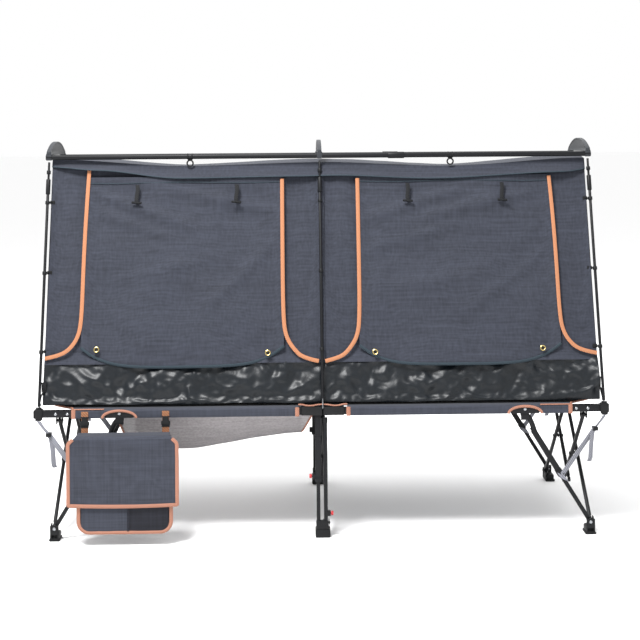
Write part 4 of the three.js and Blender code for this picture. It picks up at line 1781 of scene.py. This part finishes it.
        door = grid(name, 90, 84, place)
        drape(door, lambda p: 1.0 if p.z > 1.312 or abs(abs(p.x) - self.door_inner) < 0.012
              or abs(abs(p.x) - self.door_outer) < 0.012 else 0.0, 0.004, frames=10, cap=0.008)
        crumple(door, folds, OUT_OF_WALL)
        hem = [(v.co.copy()) for v in door.data.vertices[:91]]
        thicken(door, self.cloth, levels=1)
        finish_off(door, body, CANVAS, "canvas", [name])
        width, height = self.door_outer - self.door_inner, 0.70
        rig.sheet(door, flat=(width, height), held="hung", rests_on=["tent_front_wall"],
                 area=width * height * 0.97)
        hem_line = [p + Vector((0, -0.001, 0)) for p in hem[::3]]
        finish_off(tape(f"door_hem_{end.word}", hem_line, 0.0058, Vector((0, 1, LEAN))), body, HEM_TAPE,
                   "canvas")
        seam = [PLAN.front(sx * (self.door_inner + 0.005 + i * 0.0735), 1.302
                             - 0.002 * math.sin(i * 0.9), 0.0105) for i in range(11)]
        finish_off(tape(f"door_seam_{end.word}", seam, 0.0014), body, HEM_TAPE, "canvas")
        self.eyelets(end, body)
        self.toggles(end, body)

    def eyelets(self, end: End, body: str) -> None:
        """Brass eyelets in a door's lower corners, each with a black disc in its opening as painted shade for the hole.

        Args:
            end: The end.
            body: The door's body.
        """
        spots = ((-0.836, 0.690), (-0.201, 0.673)) if end is End.LEFT else ((0.198, 0.672), (0.824, 0.680))
        normal = OUT_OF_WALL
        rims = [ring("rim", PLAN.front(x, z, 0.022), normal, 0.0086, 0.0028) for x, z in spots]
        assemble(f"door_eyelets_{end.word}", rims, body, BRASS, "frame_metal")
        # Painted shade: a black disc fills each eyelet's opening where the hole's shade would be.
        holes = [dome("hole", PLAN.front(x, z, 0.0205), normal, 0.0075, 0.0012) for x, z in spots]
        assemble(f"door_eyelet_holes_{end.word}", holes, body, BLACK_WEBBING, "canvas")

    def toggles(self, end: End, body: str) -> None:
        """The toggle straps that would hold a rolled door.

        Args:
            end: The end.
            body: The door's body.
        """
        spots = (-0.699, -0.319) if end is End.LEFT else (0.337, 0.700)
        for number, x in enumerate(spots):
            top = 1.294
            path = [PLAN.front(x + 0.002 * math.sin(i), top - 0.011 * i, 0.021 + 0.0012 * i)
                    for i in range(7)]
            parts = [ribbon("strap", path, Vector((0.0075, 0, 0)), 0.0018)]
            tip = path[-1]
            parts.append(rod("bar", tip + Vector((-0.019, -0.002, 0.001)),
                             tip + Vector((0.019, -0.002, -0.002)),
                             0.0045, round_by=0.002))
            assemble(f"door_toggle_{end.word}_{number}", parts, body, BLACK_WEBBING, "webbing")

    def door_trim(self, end: End) -> None:
        """The orange tape along a doorway's two sides, which sweeps out at the foot.

        Args:
            end: The end.
        """
        sx = end.value
        top = 1.352 if end is End.LEFT else 1.318
        outer = [(self.door_outer - 0.006, top), (self.door_outer, 1.2), (self.door_outer + 0.004, 1.0),
                 (self.door_outer + 0.004, 0.80), (self.door_outer + 0.014, 0.735), (self.door_outer + 0.045,
                         0.69),
                 (self.door_outer + 0.085, 0.668), (1.027, 0.659)]
        inner = [(self.door_inner, 1.314), (self.door_inner, 1.0), (self.door_inner - 0.002, 0.79),
                 (self.door_inner - 0.012, 0.727), (self.door_inner - 0.042, 0.682),
                 (self.door_inner - 0.075, 0.652), (0.012, 0.640)]
        for word, line in (("outer", outer), ("inner", inner)):
            path = [PLAN.front(sx * x, z, 0.0125) for x, z in line]
            piece = tape(f"door_tape_{end.word}_{word}", path, 0.0074, OUT_OF_WALL, share=0.3)
            finish_off(piece, "front_hoop_legs", DOOR_TAPE, "canvas")

    def end_wall(self, end: End) -> None:
        """An end wall and its tub band, each in two halves that follow the folding hoop.

        Args:
            end: The end.
        """
        name = f"tent_end_wall_{end.word}"
        for side in Side:
            sy = side.value

            def place(low: float, high: float, swell: float) -> Callable[[float, float], Vector]:
                """Places a point of the sheet.

                Args:
                    low: The lower edge.
                    high: The upper edge.
                    swell: How far the middle stands out.

                Returns:
                    The function that places a point of the half wall.
                """
                def spot(u: float, v: float) -> Vector:
                    """Places a point of the half wall.

                    Args:
                        u: The share across.
                        v: The share along.

                    Returns:
                        The point.
                    """
                    z = low + (high - low) * v
                    edge = PLAN.on_wall(side, 0, z).y - PLAN.mid_y
                    x = end.value * (self.half - 0.001 + swell * math.sin(math.pi * v) * (1 - u**4)
                                     * (1 + crease(edge * u, z, sy + 3))
                                     + 0.004 * ripple(u * 0.5, z * 1.5, sy, 4) * math.sin(math.pi * u))
                    return PLAN.at(x, edge * u, z)
                return spot

            top = 1.386
            for word, low, high, finish, swell in (("wall", self.tub_high - 0.016, top, CANVAS, 0.003),
                                                   ("tub", self.tub_low, self.tub_high, TUB_CLOTH, 0.007)):
                piece = grid(f"end_{word}_{end.word}_{side.word}", 30, 60 if word == "wall" else 16,
                             place(low, high, swell))
                thicken(piece, self.cloth, levels=1)
                stands_for = [name] if word == "wall" and side is Side.FRONT else []
                finish_off(piece, None, finish, "canvas", stands_for)
                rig.blend(piece, side.hoops, "top_frame", start=PLAN.at(0, sy * 0.36, 0.9),
                         end=PLAN.at(0, 0, 0.9))
                mean = (PLAN.on_wall(side, 0, low).y + PLAN.on_wall(side, 0, high).y) / 2 - PLAN.mid_y
                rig.sheet(piece, flat=(abs(mean), high - low), held="hung",
                         rests_on=[f"{side.word}_shoulder_pole"])

    def roof(self) -> None:
        """The roof in two halves. Each follows its long wall's top edge as the hoops fold."""
        for side in Side:
            sy = side.value

            def place(u: float, v: float, sy: int = sy) -> Vector:
                """A point of a roof half, from the wall's edge to the middle line.

                Args:
                    u: The share across.
                    v: The share along.
                    sy: The sign of the long side.

                Returns:
                    The point.
                """
                x = self.along(u)
                share = 1 - v
                y = sy * share * PLAN.wall_high_y
                arch = 0.014 * (1 - share**2) * (0.4 + 0.6 * abs(math.cos(math.pi * x / self.half)))
                return PLAN.at(x, y, self.top_at(x) + arch + 0.002 * ripple(x, y, 2, 8))

            roof = grid(f"roof_half_{side.word}", 150, 13, place)
            thicken(roof, self.cloth)
            finish_off(roof, None, CANVAS, "canvas", ["tent_roof"] if side is Side.FRONT else [])
            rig.blend(roof, side.hoops, "top_frame", start=PLAN.at(0, sy * 0.142, 1.38),
                     end=PLAN.at(0, sy * 0.03, 1.38))
            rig.sheet(roof, flat=(2 * self.half, PLAN.wall_high_y), held="hung",
                     rests_on=[f"{side.word}_shoulder_pole"])

    def corner_tie(self, side: Side, end: End) -> None:
        """The black webbing and steel hook that tie a lower corner to the end block.

        Args:
            side: The long side.
            end: The end.
        """
        sx, sy = end.value, side.value
        name = f"corner_tie_{side.word}_{end.word}"
        top = PLAN.on_wall(side, sx * 1.026, 0.545, 0.004)
        low = PLAN.at(sx * 1.040, sy * 0.402, 0.496)
        path = [top, top.lerp(low, 0.4) + Vector((sx * 0.004, 0, 0)), low]
        straps = [ribbon("strap", path, Vector((0.003, 0.008 * sy, 0)), 0.0022),
                  block("patch", top + Vector((-0.009, -0.0022, -0.006)),
                        top + Vector((0.009, 0.0022, 0.030)), 0.001)]
        assemble(name, straps, side.hoops, BLACK_WEBBING, "webbing")
        hook = [ring("eye", low, (0, 1, 0), 0.0055, 0.0014),
                rod("shank", low, low + Vector((0, 0, -0.009)), 0.0015)]
        assemble(f"{name}_hook", hook, side.hoops, STEEL, "frame_metal")

    def centre_tie(self) -> None:
        """The dark strap behind the centre hoop leg, where the front wall is gathered."""
        for side in Side:
            path = [PLAN.on_wall(side, 0.002 * math.sin(i), 1.36 - i * 0.0715, 0.0075) for i in range(11)]
            strip = ribbon(f"centre_strip_{side.word}", path, Vector((0.013, 0, 0)), 0.0012)
            finish_off(strip, side.hoops, CANVAS, "webbing")


@dataclass
class BedCloth:
    """The bed's deck, its rail sleeves with their arches, and the gear sling."""

    sleeve_end: float = 0.916
    arch_x: float = 0.745
    arch_half: float = 0.062
    arch_rise: float = 0.027
    low: float = 0.4495
    top: float = 0.4815
    joint_half: float = 0.090
    fold_keep: float = 0.188

    def build(self) -> None:
        """Builds the sleeves, the deck, the bindings and the sling."""
        for side in Side:
            for end in End:
                self.sleeve(side, end)
        self.deck()
        self.sling()

    def flattens(self, piece: Piece) -> None:
        """Lets a piece draw in towards the front rail as the bed folds in width."""
        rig.squash(piece, "width_fold", axis=(0, 1, 0), anchor=PLAN.at(0, -PLAN.rail_y, 0.48),
                  keep=self.fold_keep)

    def lower_edge(self, x: float) -> float:
        """The height of a sleeve's lower edge, which arches over the strut bracket."""
        share = abs(x - self.arch_x) / self.arch_half
        return self.low + (self.arch_rise * math.sqrt(1 - share * share) if share < 1 else 0.0)

    def sleeve(self, side: Side, end: End) -> None:
        """A fabric sleeve over one rail, from the centre joint to near the end block.

        Args:
            side: The long side.
            end: The end.
        """
        sx, sy = end.value, side.value
        name = f"{side.word}_sleeve_{end.word}"
        outer = PLAN.rail_y + 0.0175
        profile = ((0.382, self.top - 0.001), (0.398, self.top + 0.0005), (0.412, self.top + 0.0008),
                   (outer - 0.004, self.top - 0.0008), (outer, self.top - 0.006))
        span = self.sleeve_end - self.joint_half

        def place(u: float, v: float) -> Vector:
            """Places a point of the sheet.

            Args:
                u: The share across.
                v: The share along.

            Returns:
                The point.
            """
            x = self.joint_half + span * u
            if v <= 0.4:
                step = v / 0.1
                i = min(3, int(step))
                (y0, z0), (y1, z1) = profile[i], profile[i + 1]
                t = step - i
                y, z = y0 + (y1 - y0) * t, z0 + (z1 - z0) * t
            else:
                t = (v - 0.4) / 0.6
                z = profile[-1][1] + (self.lower_edge(x) - profile[-1][1]) * t
                y = outer + 0.0008 * ripple(x, sy, z, 20) + 0.0006 * math.sin(math.pi * t)
            return PLAN.at(sx * x, sy * y, z)

        cloth = grid(name, 206, 20, place)
        thicken(cloth, 0.0011)
        finish_off(cloth, side.rails, BED_CLOTH, "canvas")
        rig.sheet(cloth, flat=(span, 0.072), held="stretched", rests_on=[f"{side.word}_rail_{end.word}"])
        edge = [self.arch_x - self.arch_half * math.cos(math.pi * i / 14) for i in range(15)]
        arch = [PLAN.at(sx * x, sy * (outer + 0.0012), self.lower_edge(x) if 0 < i < 14 else self.low)
                for i, x in enumerate(edge)]
        flat = Vector((0, 1, 0))
        bands = [tape("arch", arch, 0.0048, flat, share=0.35)]
        for x in (self.sleeve_end - 0.004, self.joint_half + 0.004):
            stand = [PLAN.at(sx * x, sy * (outer + 0.0014), z) for z in (self.low - 0.001, 0.458, 0.468,
                    self.top)]
            bands.append(tape("band", stand, 0.0075, flat, share=0.28))
        assemble(f"{name}_binding", bands, side.rails, BED_TAPE, "canvas")
        wave = [PLAN.at(sx * x, sy * (0.424 - 0.001 * i), z) for i, (x, z) in enumerate(
            ((0.090, 0.4905), (0.078, 0.492), (0.060, 0.486), (0.038, 0.4852), (0.016, 0.490),
             (0.002, 0.4895)))]
        finish_off(tape(f"{name}_wave", wave, 0.0028), side.rails, BED_TAPE, "canvas")
        rim = [PLAN.at(sx * x, sy * (outer - 0.001), self.top + 0.0006) for x in (0.80, 0.83, 0.87, 0.912)]
        finish_off(tape(f"{name}_rim", rim, 0.0022), side.rails, BED_TAPE, "canvas")

    def deck(self) -> None:
        """The stretched bed cloth between the rails, dipping a little, with cut corners."""
        half_x, half_y = 1.012, 0.392

        def place(u: float, v: float) -> Vector:
            """Places a point of the sheet.

            Args:
                u: The share across.
                v: The share along.

            Returns:
                The point.
            """
            y = (2 * v - 1) * half_y
            share = abs(y) / half_y
            reach = half_x - 0.098 * max(0.0, (share - 0.78) / 0.22)
            x = (2 * u - 1) * reach
            dip = 0.010 * (1 - share**2) * (1 - (x / half_x) ** 4)
            return PLAN.at(x, y, 0.4795 - dip + 0.0009 * ripple(x, y, 4, 9))

        deck = grid("bed_deck", 160, 60, place)
        thicken(deck, 0.0014)
        finish_off(deck, "front_side", BED_CLOTH, "canvas", ["bed_deck"])
        self.flattens(deck)
        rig.sheet(deck, flat=(2 * half_x, 2 * half_y), held="stretched",
                 rests_on=["front_rail_left", "back_rail_left"], area=4 * half_x * half_y * 0.98)
        for end in End:
            sx = end.value
            outline = [place(1.0 if sx > 0 else 0.0, i / 24) for i in range(25)]
            corners = [PLAN.at(sx * self.sleeve_end, -0.4255, self.top), *outline,
                       PLAN.at(sx * self.sleeve_end, 0.4255, self.top)]
            binding = tape(f"deck_binding_{end.word}", corners, 0.0042)
            finish_off(binding, "front_side", BED_TAPE, "canvas")
            self.flattens(binding)

    def sling(self) -> None:
        """The light net sling that hangs under the left half for small gear, like a hammock."""
        left, right, side_y = -0.763, -0.036, 0.352

        def place(u: float, v: float) -> Vector:
            """Places a point of the sheet.

            Args:
                u: The share across.
                v: The share along.

            Returns:
                The point.
            """
            bowl = 1 - abs(2 * v - 1) ** 2.2
            pinch = 0.030 * bowl
            x = left + pinch * 0.6 + (right - left - pinch * 2.2) * u
            drop = wave_between(u, ((0.0, 0.150), (0.30, 0.186), (1.0, 0.128)))
            y = (2 * v - 1) * side_y
            return PLAN.at(x, y, 0.446 - drop * bowl + 0.004 * ripple(x, y, 6, 8) * bowl)

        net = grid("gear_sling", 90, 56, place)
        drape(net, lambda p: 1.0 if abs(p.y - PLAN.mid_y) > side_y - 0.006 else 0.0, 0.006, frames=8,
              cap=0.006,
              weight=0.3)
        thicken(net, 0.0009)
        finish_off(net, "front_side", SLING_NET, "mesh", ["gear_sling"])
        self.flattens(net)
        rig.sheet(net, flat=(right - left, 0.84), held="hung", rests_on=["front_rail_left", "back_rail_left"])
        for word, u in (("left", 0.0), ("right", 1.0)):
            rim = tape(f"sling_binding_{word}", [place(u, i / 32) for i in range(33)], 0.0042)
            finish_off(rim, "front_side", BED_TAPE, "webbing")
            self.flattens(rim)
        for word, v in (("front", 0.0), ("back", 1.0)):
            rim = tape(f"sling_binding_{word}", [place(i / 20, v) for i in range(21)], 0.0034)
            finish_off(rim, "front_side", BED_TAPE, "webbing")
            self.flattens(rim)


@dataclass
class GearBag:
    """The storage bag that hangs from the front rail at the left end."""

    flap_low: float = 0.153
    tape_radius: float = 0.0068

    def build(self) -> None:
        """Builds the body, its pockets, the flap and the hanging straps."""
        self.body()
        self.flap()
        self.straps()

    def body(self) -> None:
        """The bag's stitched body: a slack pouch with round lower corners."""
        low, high = self.body_box()
        deselect()
        bpy.ops.mesh.primitive_cube_add(size=1, location=(low + high) / 2)
        bpy.context.object.scale = (high.x - low.x, high.y - low.y - 0.010, high.z - low.z)
        body = settle("bag_body")
        bpy.ops.object.mode_set(mode="EDIT")
        bpy.ops.mesh.select_all(action="SELECT")
        bpy.ops.mesh.subdivide(number_cuts=26)
        bpy.ops.object.mode_set(mode="OBJECT")
        middle = (low + high) / 2
        half = (high - low) / 2
        radius = 0.040
        for vertex in body.data.vertices:
            rel = vertex.co - middle
            below = -(rel.z + half.z - radius)
            beside = abs(rel.x) - (half.x - radius)
            if below > 0 and beside > 0:
                reach = math.hypot(below, beside)
                scale = max(below, beside) / reach
                rel.x = math.copysign(half.x - radius + beside * scale, rel.x)
                rel.z = -half.z + radius - below * scale
            swell = max(0.0, 1 - (rel.x / half.x) ** 6) * max(0.0, 1 - (rel.z / half.z) ** 6)
            rel.y *= 0.8 + 0.2 * swell
            vertex.co = middle + rel
        modify(body, "SUBSURF", levels=1, render_levels=1)
        finish_off(body, "front_side", BED_CLOTH, "canvas", ["bag_body"])
        self.pockets(low, high)

    def body_box(self) -> tuple[Vector, Vector]:
        """The cloth body's box, drawn in a little from the solid that stands for it."""
        low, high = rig.box("bag_body")
        return low + Vector((0.026, 0.004, 0.0)), high - Vector((0.014, 0.0, 0.0))

    def pockets(self, low: Vector, high: Vector) -> None:
        """The two front pockets, one of cloth and one of net, and the tape round them.

        Args:
            low: The lower corner.
            high: The upper corner.
        """
        middle_x = (low.x + high.x) / 2 + 0.012
        face = low.y - 0.0005
        inset = 0.010

        def rounded(x: float) -> float:
            """The height of the bag's round lower edge.

            Args:
                x: The place along the bed.

            Returns:
                The height.
            """
            edge = min(x - low.x, high.x - x)
            radius = 0.040
            if edge < radius:
                return low.z + radius - math.sqrt(max(0.0, radius**2 - (radius - edge) ** 2))
            return low.z

        for word, x0, x1, finish in (("cloth", low.x + inset, middle_x - 0.002, BED_CLOTH),
                                     ("net", middle_x + 0.002, high.x - inset, POCKET_NET)):
            def place(u: float, v: float, x0: float = x0, x1: float = x1) -> Vector:
                """Places a point of the sheet.

                Args:
                    u: The share across.
                    v: The share along.
                    x0: The pocket's left edge.
                    x1: The pocket's right edge.

                Returns:
                    The point.
                """
                x = x0 + (x1 - x0) * u
                foot = rounded(x) + 0.004
                z = foot + (low.z + 0.108 - foot) * v
                bulge = 0.0015 * math.sin(math.pi * min(1, max(0, u))) * math.sin(math.pi * (v * 0.7 + 0.15))
                swell = 0.001 + bulge
                return Vector((x, face - swell + 0.0006 * ripple(x, 1, z, 22), z))

            pocket = grid(f"bag_pocket_{word}", 30, 30, place)
            thicken(pocket, 0.001, levels=1)
            finish_off(pocket, "front_side", finish, "canvas")
            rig.sheet(pocket, flat=(x1 - x0, 0.108), held="stretched", rests_on=["bag_body"])
        edge = []
        steps = 44
        for i in range(steps + 1):
            x = low.x + (high.x - low.x) * (0.5 - 0.5 * math.cos(math.pi * i / steps))
            edge.append(Vector((x, face - 0.0005, rounded(x))))
        rim = [Vector((low.x, face, low.z + 0.12)), Vector((low.x, face, low.z + 0.08)), *edge,
               Vector((high.x, face, low.z + 0.08)), Vector((high.x, face, low.z + 0.12))]
        binding = tape("bag_body_binding", rim, self.tape_radius, Vector((0, 1, 0)), share=0.45)
        finish_off(binding, "front_side", BED_TAPE, "canvas")
        seam = ribbon("bag_pocket_seam", [Vector((middle_x, face - 0.003,
                low.z + 0.004 + 0.02 * i)) for i in range(6)],
                      Vector((0.0035, 0, 0)), 0.0012)
        finish_off(seam, "front_side", POCKET_NET, "canvas")

    def flap(self) -> None:
        """The flap that folds over the bag from its back edge."""
        low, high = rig.box("bag_flap")
        hinge = PIVOTS["bag_flap_hinge"]
        front = low.y - 0.001
        top = high.z
        chamfer = 0.030
        over = hinge.y - front

        def profile(v: float) -> tuple[float, float]:
            """Depth and height along the flap, from the hinge to the hem.

            Args:
                v: The share of the length, from the hinge to the hem.

            Returns:
                The depth and the height.
            """
            length = over + (top - self.flap_low)
            run = v * length
            bend = 0.014
            if run < over - bend:
                return hinge.y - run, top - 0.001 - 0.002 * run / over
            if run < over + bend:
                t = (run - over + bend) / (2 * bend)
                angle = t * math.pi / 2
                return front + bend * (1 - math.sin(angle)), top - 0.003 - bend * (1 - math.cos(angle))
            return front, top - 0.003 - bend - (run - over - bend)

        def place(u: float, v: float) -> Vector:
            """Places a point of the sheet.

            Args:
                u: The share across.
                v: The share along.

            Returns:
                The point.
            """
            y, z = profile(v)
            width = (high.x - low.x) / 2 - 0.004
            drop = max(0.0, top - z)
            pull = chamfer * max(0.0, 1 - drop / 0.028)
            x = (low.x + high.x) / 2 + (2 * u - 1) * (width - pull)
            soft = (0.010 * ripple(x * 1.2 + z * 1.6, 1, z * 1.6 - x, 4.5)
                    + 0.0022 * crease(x * 0.9, z * 0.9, 4)) * min(1, drop * 14)
            sag = -0.004 * math.sin(math.pi * u) * (1 if v > 0.9 else 0) * (v - 0.9) * 10
            return Vector((x, y - soft * 0.6 * (1 - max(0.0, v - 0.9) * 10), z + sag))

        flap = grid("bag_flap", 64, 50, place)
        thicken(flap, 0.0016, levels=1)
        finish_off(flap, "bag_lid", BED_CLOTH, "canvas", ["bag_flap"])
        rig.sheet(flap, flat=(high.x - low.x, over + top - self.flap_low), held="folded",
                 rests_on=["bag_body"])
        start = 0.22
        lift = Vector((0, -0.0012, 0))
        sides = [place(0, start + (1 - start) * i / 30) + lift for i in range(30)]
        foot = [place(i / 30, 1.0) + lift for i in range(31)]
        back = [place(1, 1 - (1 - start) * i / 30) + lift for i in range(1, 31)]
        binding = tape("bag_flap_binding", [*sides, *foot, *back], self.tape_radius, Vector((0, 1, 0)),
                       share=0.42)
        finish_off(binding, "bag_lid", BED_TAPE, "canvas")

    def straps(self) -> None:
        """Two tan hanging straps, each with a side-release buckle."""
        for end in End:
            name = f"bag_strap_{end.word}"
            low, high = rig.box(name)
            x, half = (low.x + high.x) / 2, (high.x - low.x) / 2
            y = low.y - 0.0005
            upper = [Vector((x, y, high.z - 0.003 - 0.011 * i)) for i in range(4)]
            lower = [Vector((x, y - 0.001 * i, 0.424 - 0.014 * i)) for i in range(5)]
            parts = [ribbon(name, upper, Vector((half, 0, 0)), 0.0022),
                     ribbon("lower", lower, Vector((half, 0, 0)), 0.0022)]
            assemble(name, parts, "front_side", TAN_WEBBING, "webbing", [name])
            self.buckle(end, x, y)

    def buckle(self, end: End, x: float, y: float) -> None:
        """A moulded side-release buckle: a socket, a plug and its two squeeze arms.

        Args:
            end: The end.
            x: The place along the bed.
            y: The depth.
        """
        socket = block("socket", (x - 0.0155, y - 0.0045, 0.421), (x + 0.0155, y + 0.0025, 0.440), 0.003)
        plug = block("plug", (x - 0.0115, y - 0.0035, 0.436), (x + 0.0115, y + 0.0015, 0.454), 0.002)
        arms = [block("arm", (x + s * 0.0125, y - 0.004, 0.425), (x + s * 0.0168, y + 0.002, 0.438), 0.0015)
                for s in (-1, 1)]
        bars = [block("bar", (x - 0.0155, y - 0.004, z), (x + 0.0155, y + 0.002, z + 0.004), 0.0012)
                for z in (0.417, 0.452)]
        assemble(f"bag_buckle_{end.word}", [socket, plug, *arms, *bars], "front_side", NYLON,
                   "black_plastic")


# ---- stage ----
@dataclass(frozen=True)
class Studio:
    """The camera, the pale floor and soft light."""

    camera_at: tuple[float, float, float] = (-0.107, -5.397, 1.443)
    turn_deg: tuple[float, float, float] = (90.0, 0.43, -1.19)
    lens_mm: float = 76.8
    shift_y: float = -0.2736

    def build(self) -> None:
        """Sets the camera, the floor, the lamps and the sky."""
        camera = bpy.data.objects.new("camera", bpy.data.cameras.new("camera"))
        bpy.context.scene.collection.objects.link(camera)
        camera.location = self.camera_at
        camera.rotation_euler = [math.radians(angle) for angle in self.turn_deg]
        camera.data.lens = self.lens_mm
        camera.data.shift_y = self.shift_y
        bpy.context.scene.camera = camera
        self.floor()
        self.lamp("key", (-1.6, -2.6, 5.2), 1.4, 560)
        self.lamp("fill", (3.6, -3.4, 2.2), 3.0, 20)
        self.lamp("top", (0.0, 0.6, 4.4), 5.0, 80)
        self.lamp("rim", (0.5, 4.2, 2.6), 4.0, 40)
        world = bpy.data.worlds.new("studio")
        world.use_nodes = True
        world.node_tree.nodes["Background"].inputs["Color"].default_value = (1, 1, 1, 1)
        world.node_tree.nodes["Background"].inputs["Strength"].default_value = 1.0
        bpy.context.scene.world = world
        bpy.context.scene.view_settings.view_transform = "Standard"

    def floor(self) -> None:
        """A wide, pale, level floor."""
        deselect()
        bpy.ops.mesh.primitive_plane_add(size=400, location=(0, 0, 0))
        floor = settle("floor")
        pale = bpy.data.materials.new("floor_paper")
        pale.use_nodes = True
        shader = pale.node_tree.nodes["Principled BSDF"]
        shader.inputs["Base Color"].default_value = linear("fbfbfb")
        shader.inputs["Roughness"].default_value = 0.9
        floor.data.materials.append(pale)
        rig.stage(floor)

    def lamp(self, name: str, place: Point, size: float, power: float) -> None:
        """One soft square lamp that faces the bed.

        Args:
            name: The piece's name.
            place: Its place.
            size: The lamp's side.
            power: Its power in watts.
        """
        deselect()
        turn = (Vector((0, 0, 0.8)) - Vector(place)).to_track_quat("-Z", "Y").to_euler()
        bpy.ops.object.light_add(type="AREA", location=place, rotation=turn)
        light = bpy.context.object
        light.name = name
        light.data.size = size
        light.data.energy = power


def plain(box: Sequence[Vector]) -> list[list[float]]:
    """A box as plain lists of numbers."""
    return [[float(value) for value in corner] for corner in box]


def main() -> None:
    """Builds the bed's looks around the frame."""
    logging.basicConfig(level=logging.INFO, format="%(message)s")
    Studio().build()
    ScissorFrame().build()
    Hoops().build()
    Tent().build()
    BedCloth().build()
    GearBag().build()
    with open("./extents.json", "w", encoding="utf-8") as out:
        json.dump({"cad": plain(CAD_BOX), "visual": plain(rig.bounds())}, out)


if __name__ == "__main__":
    main()
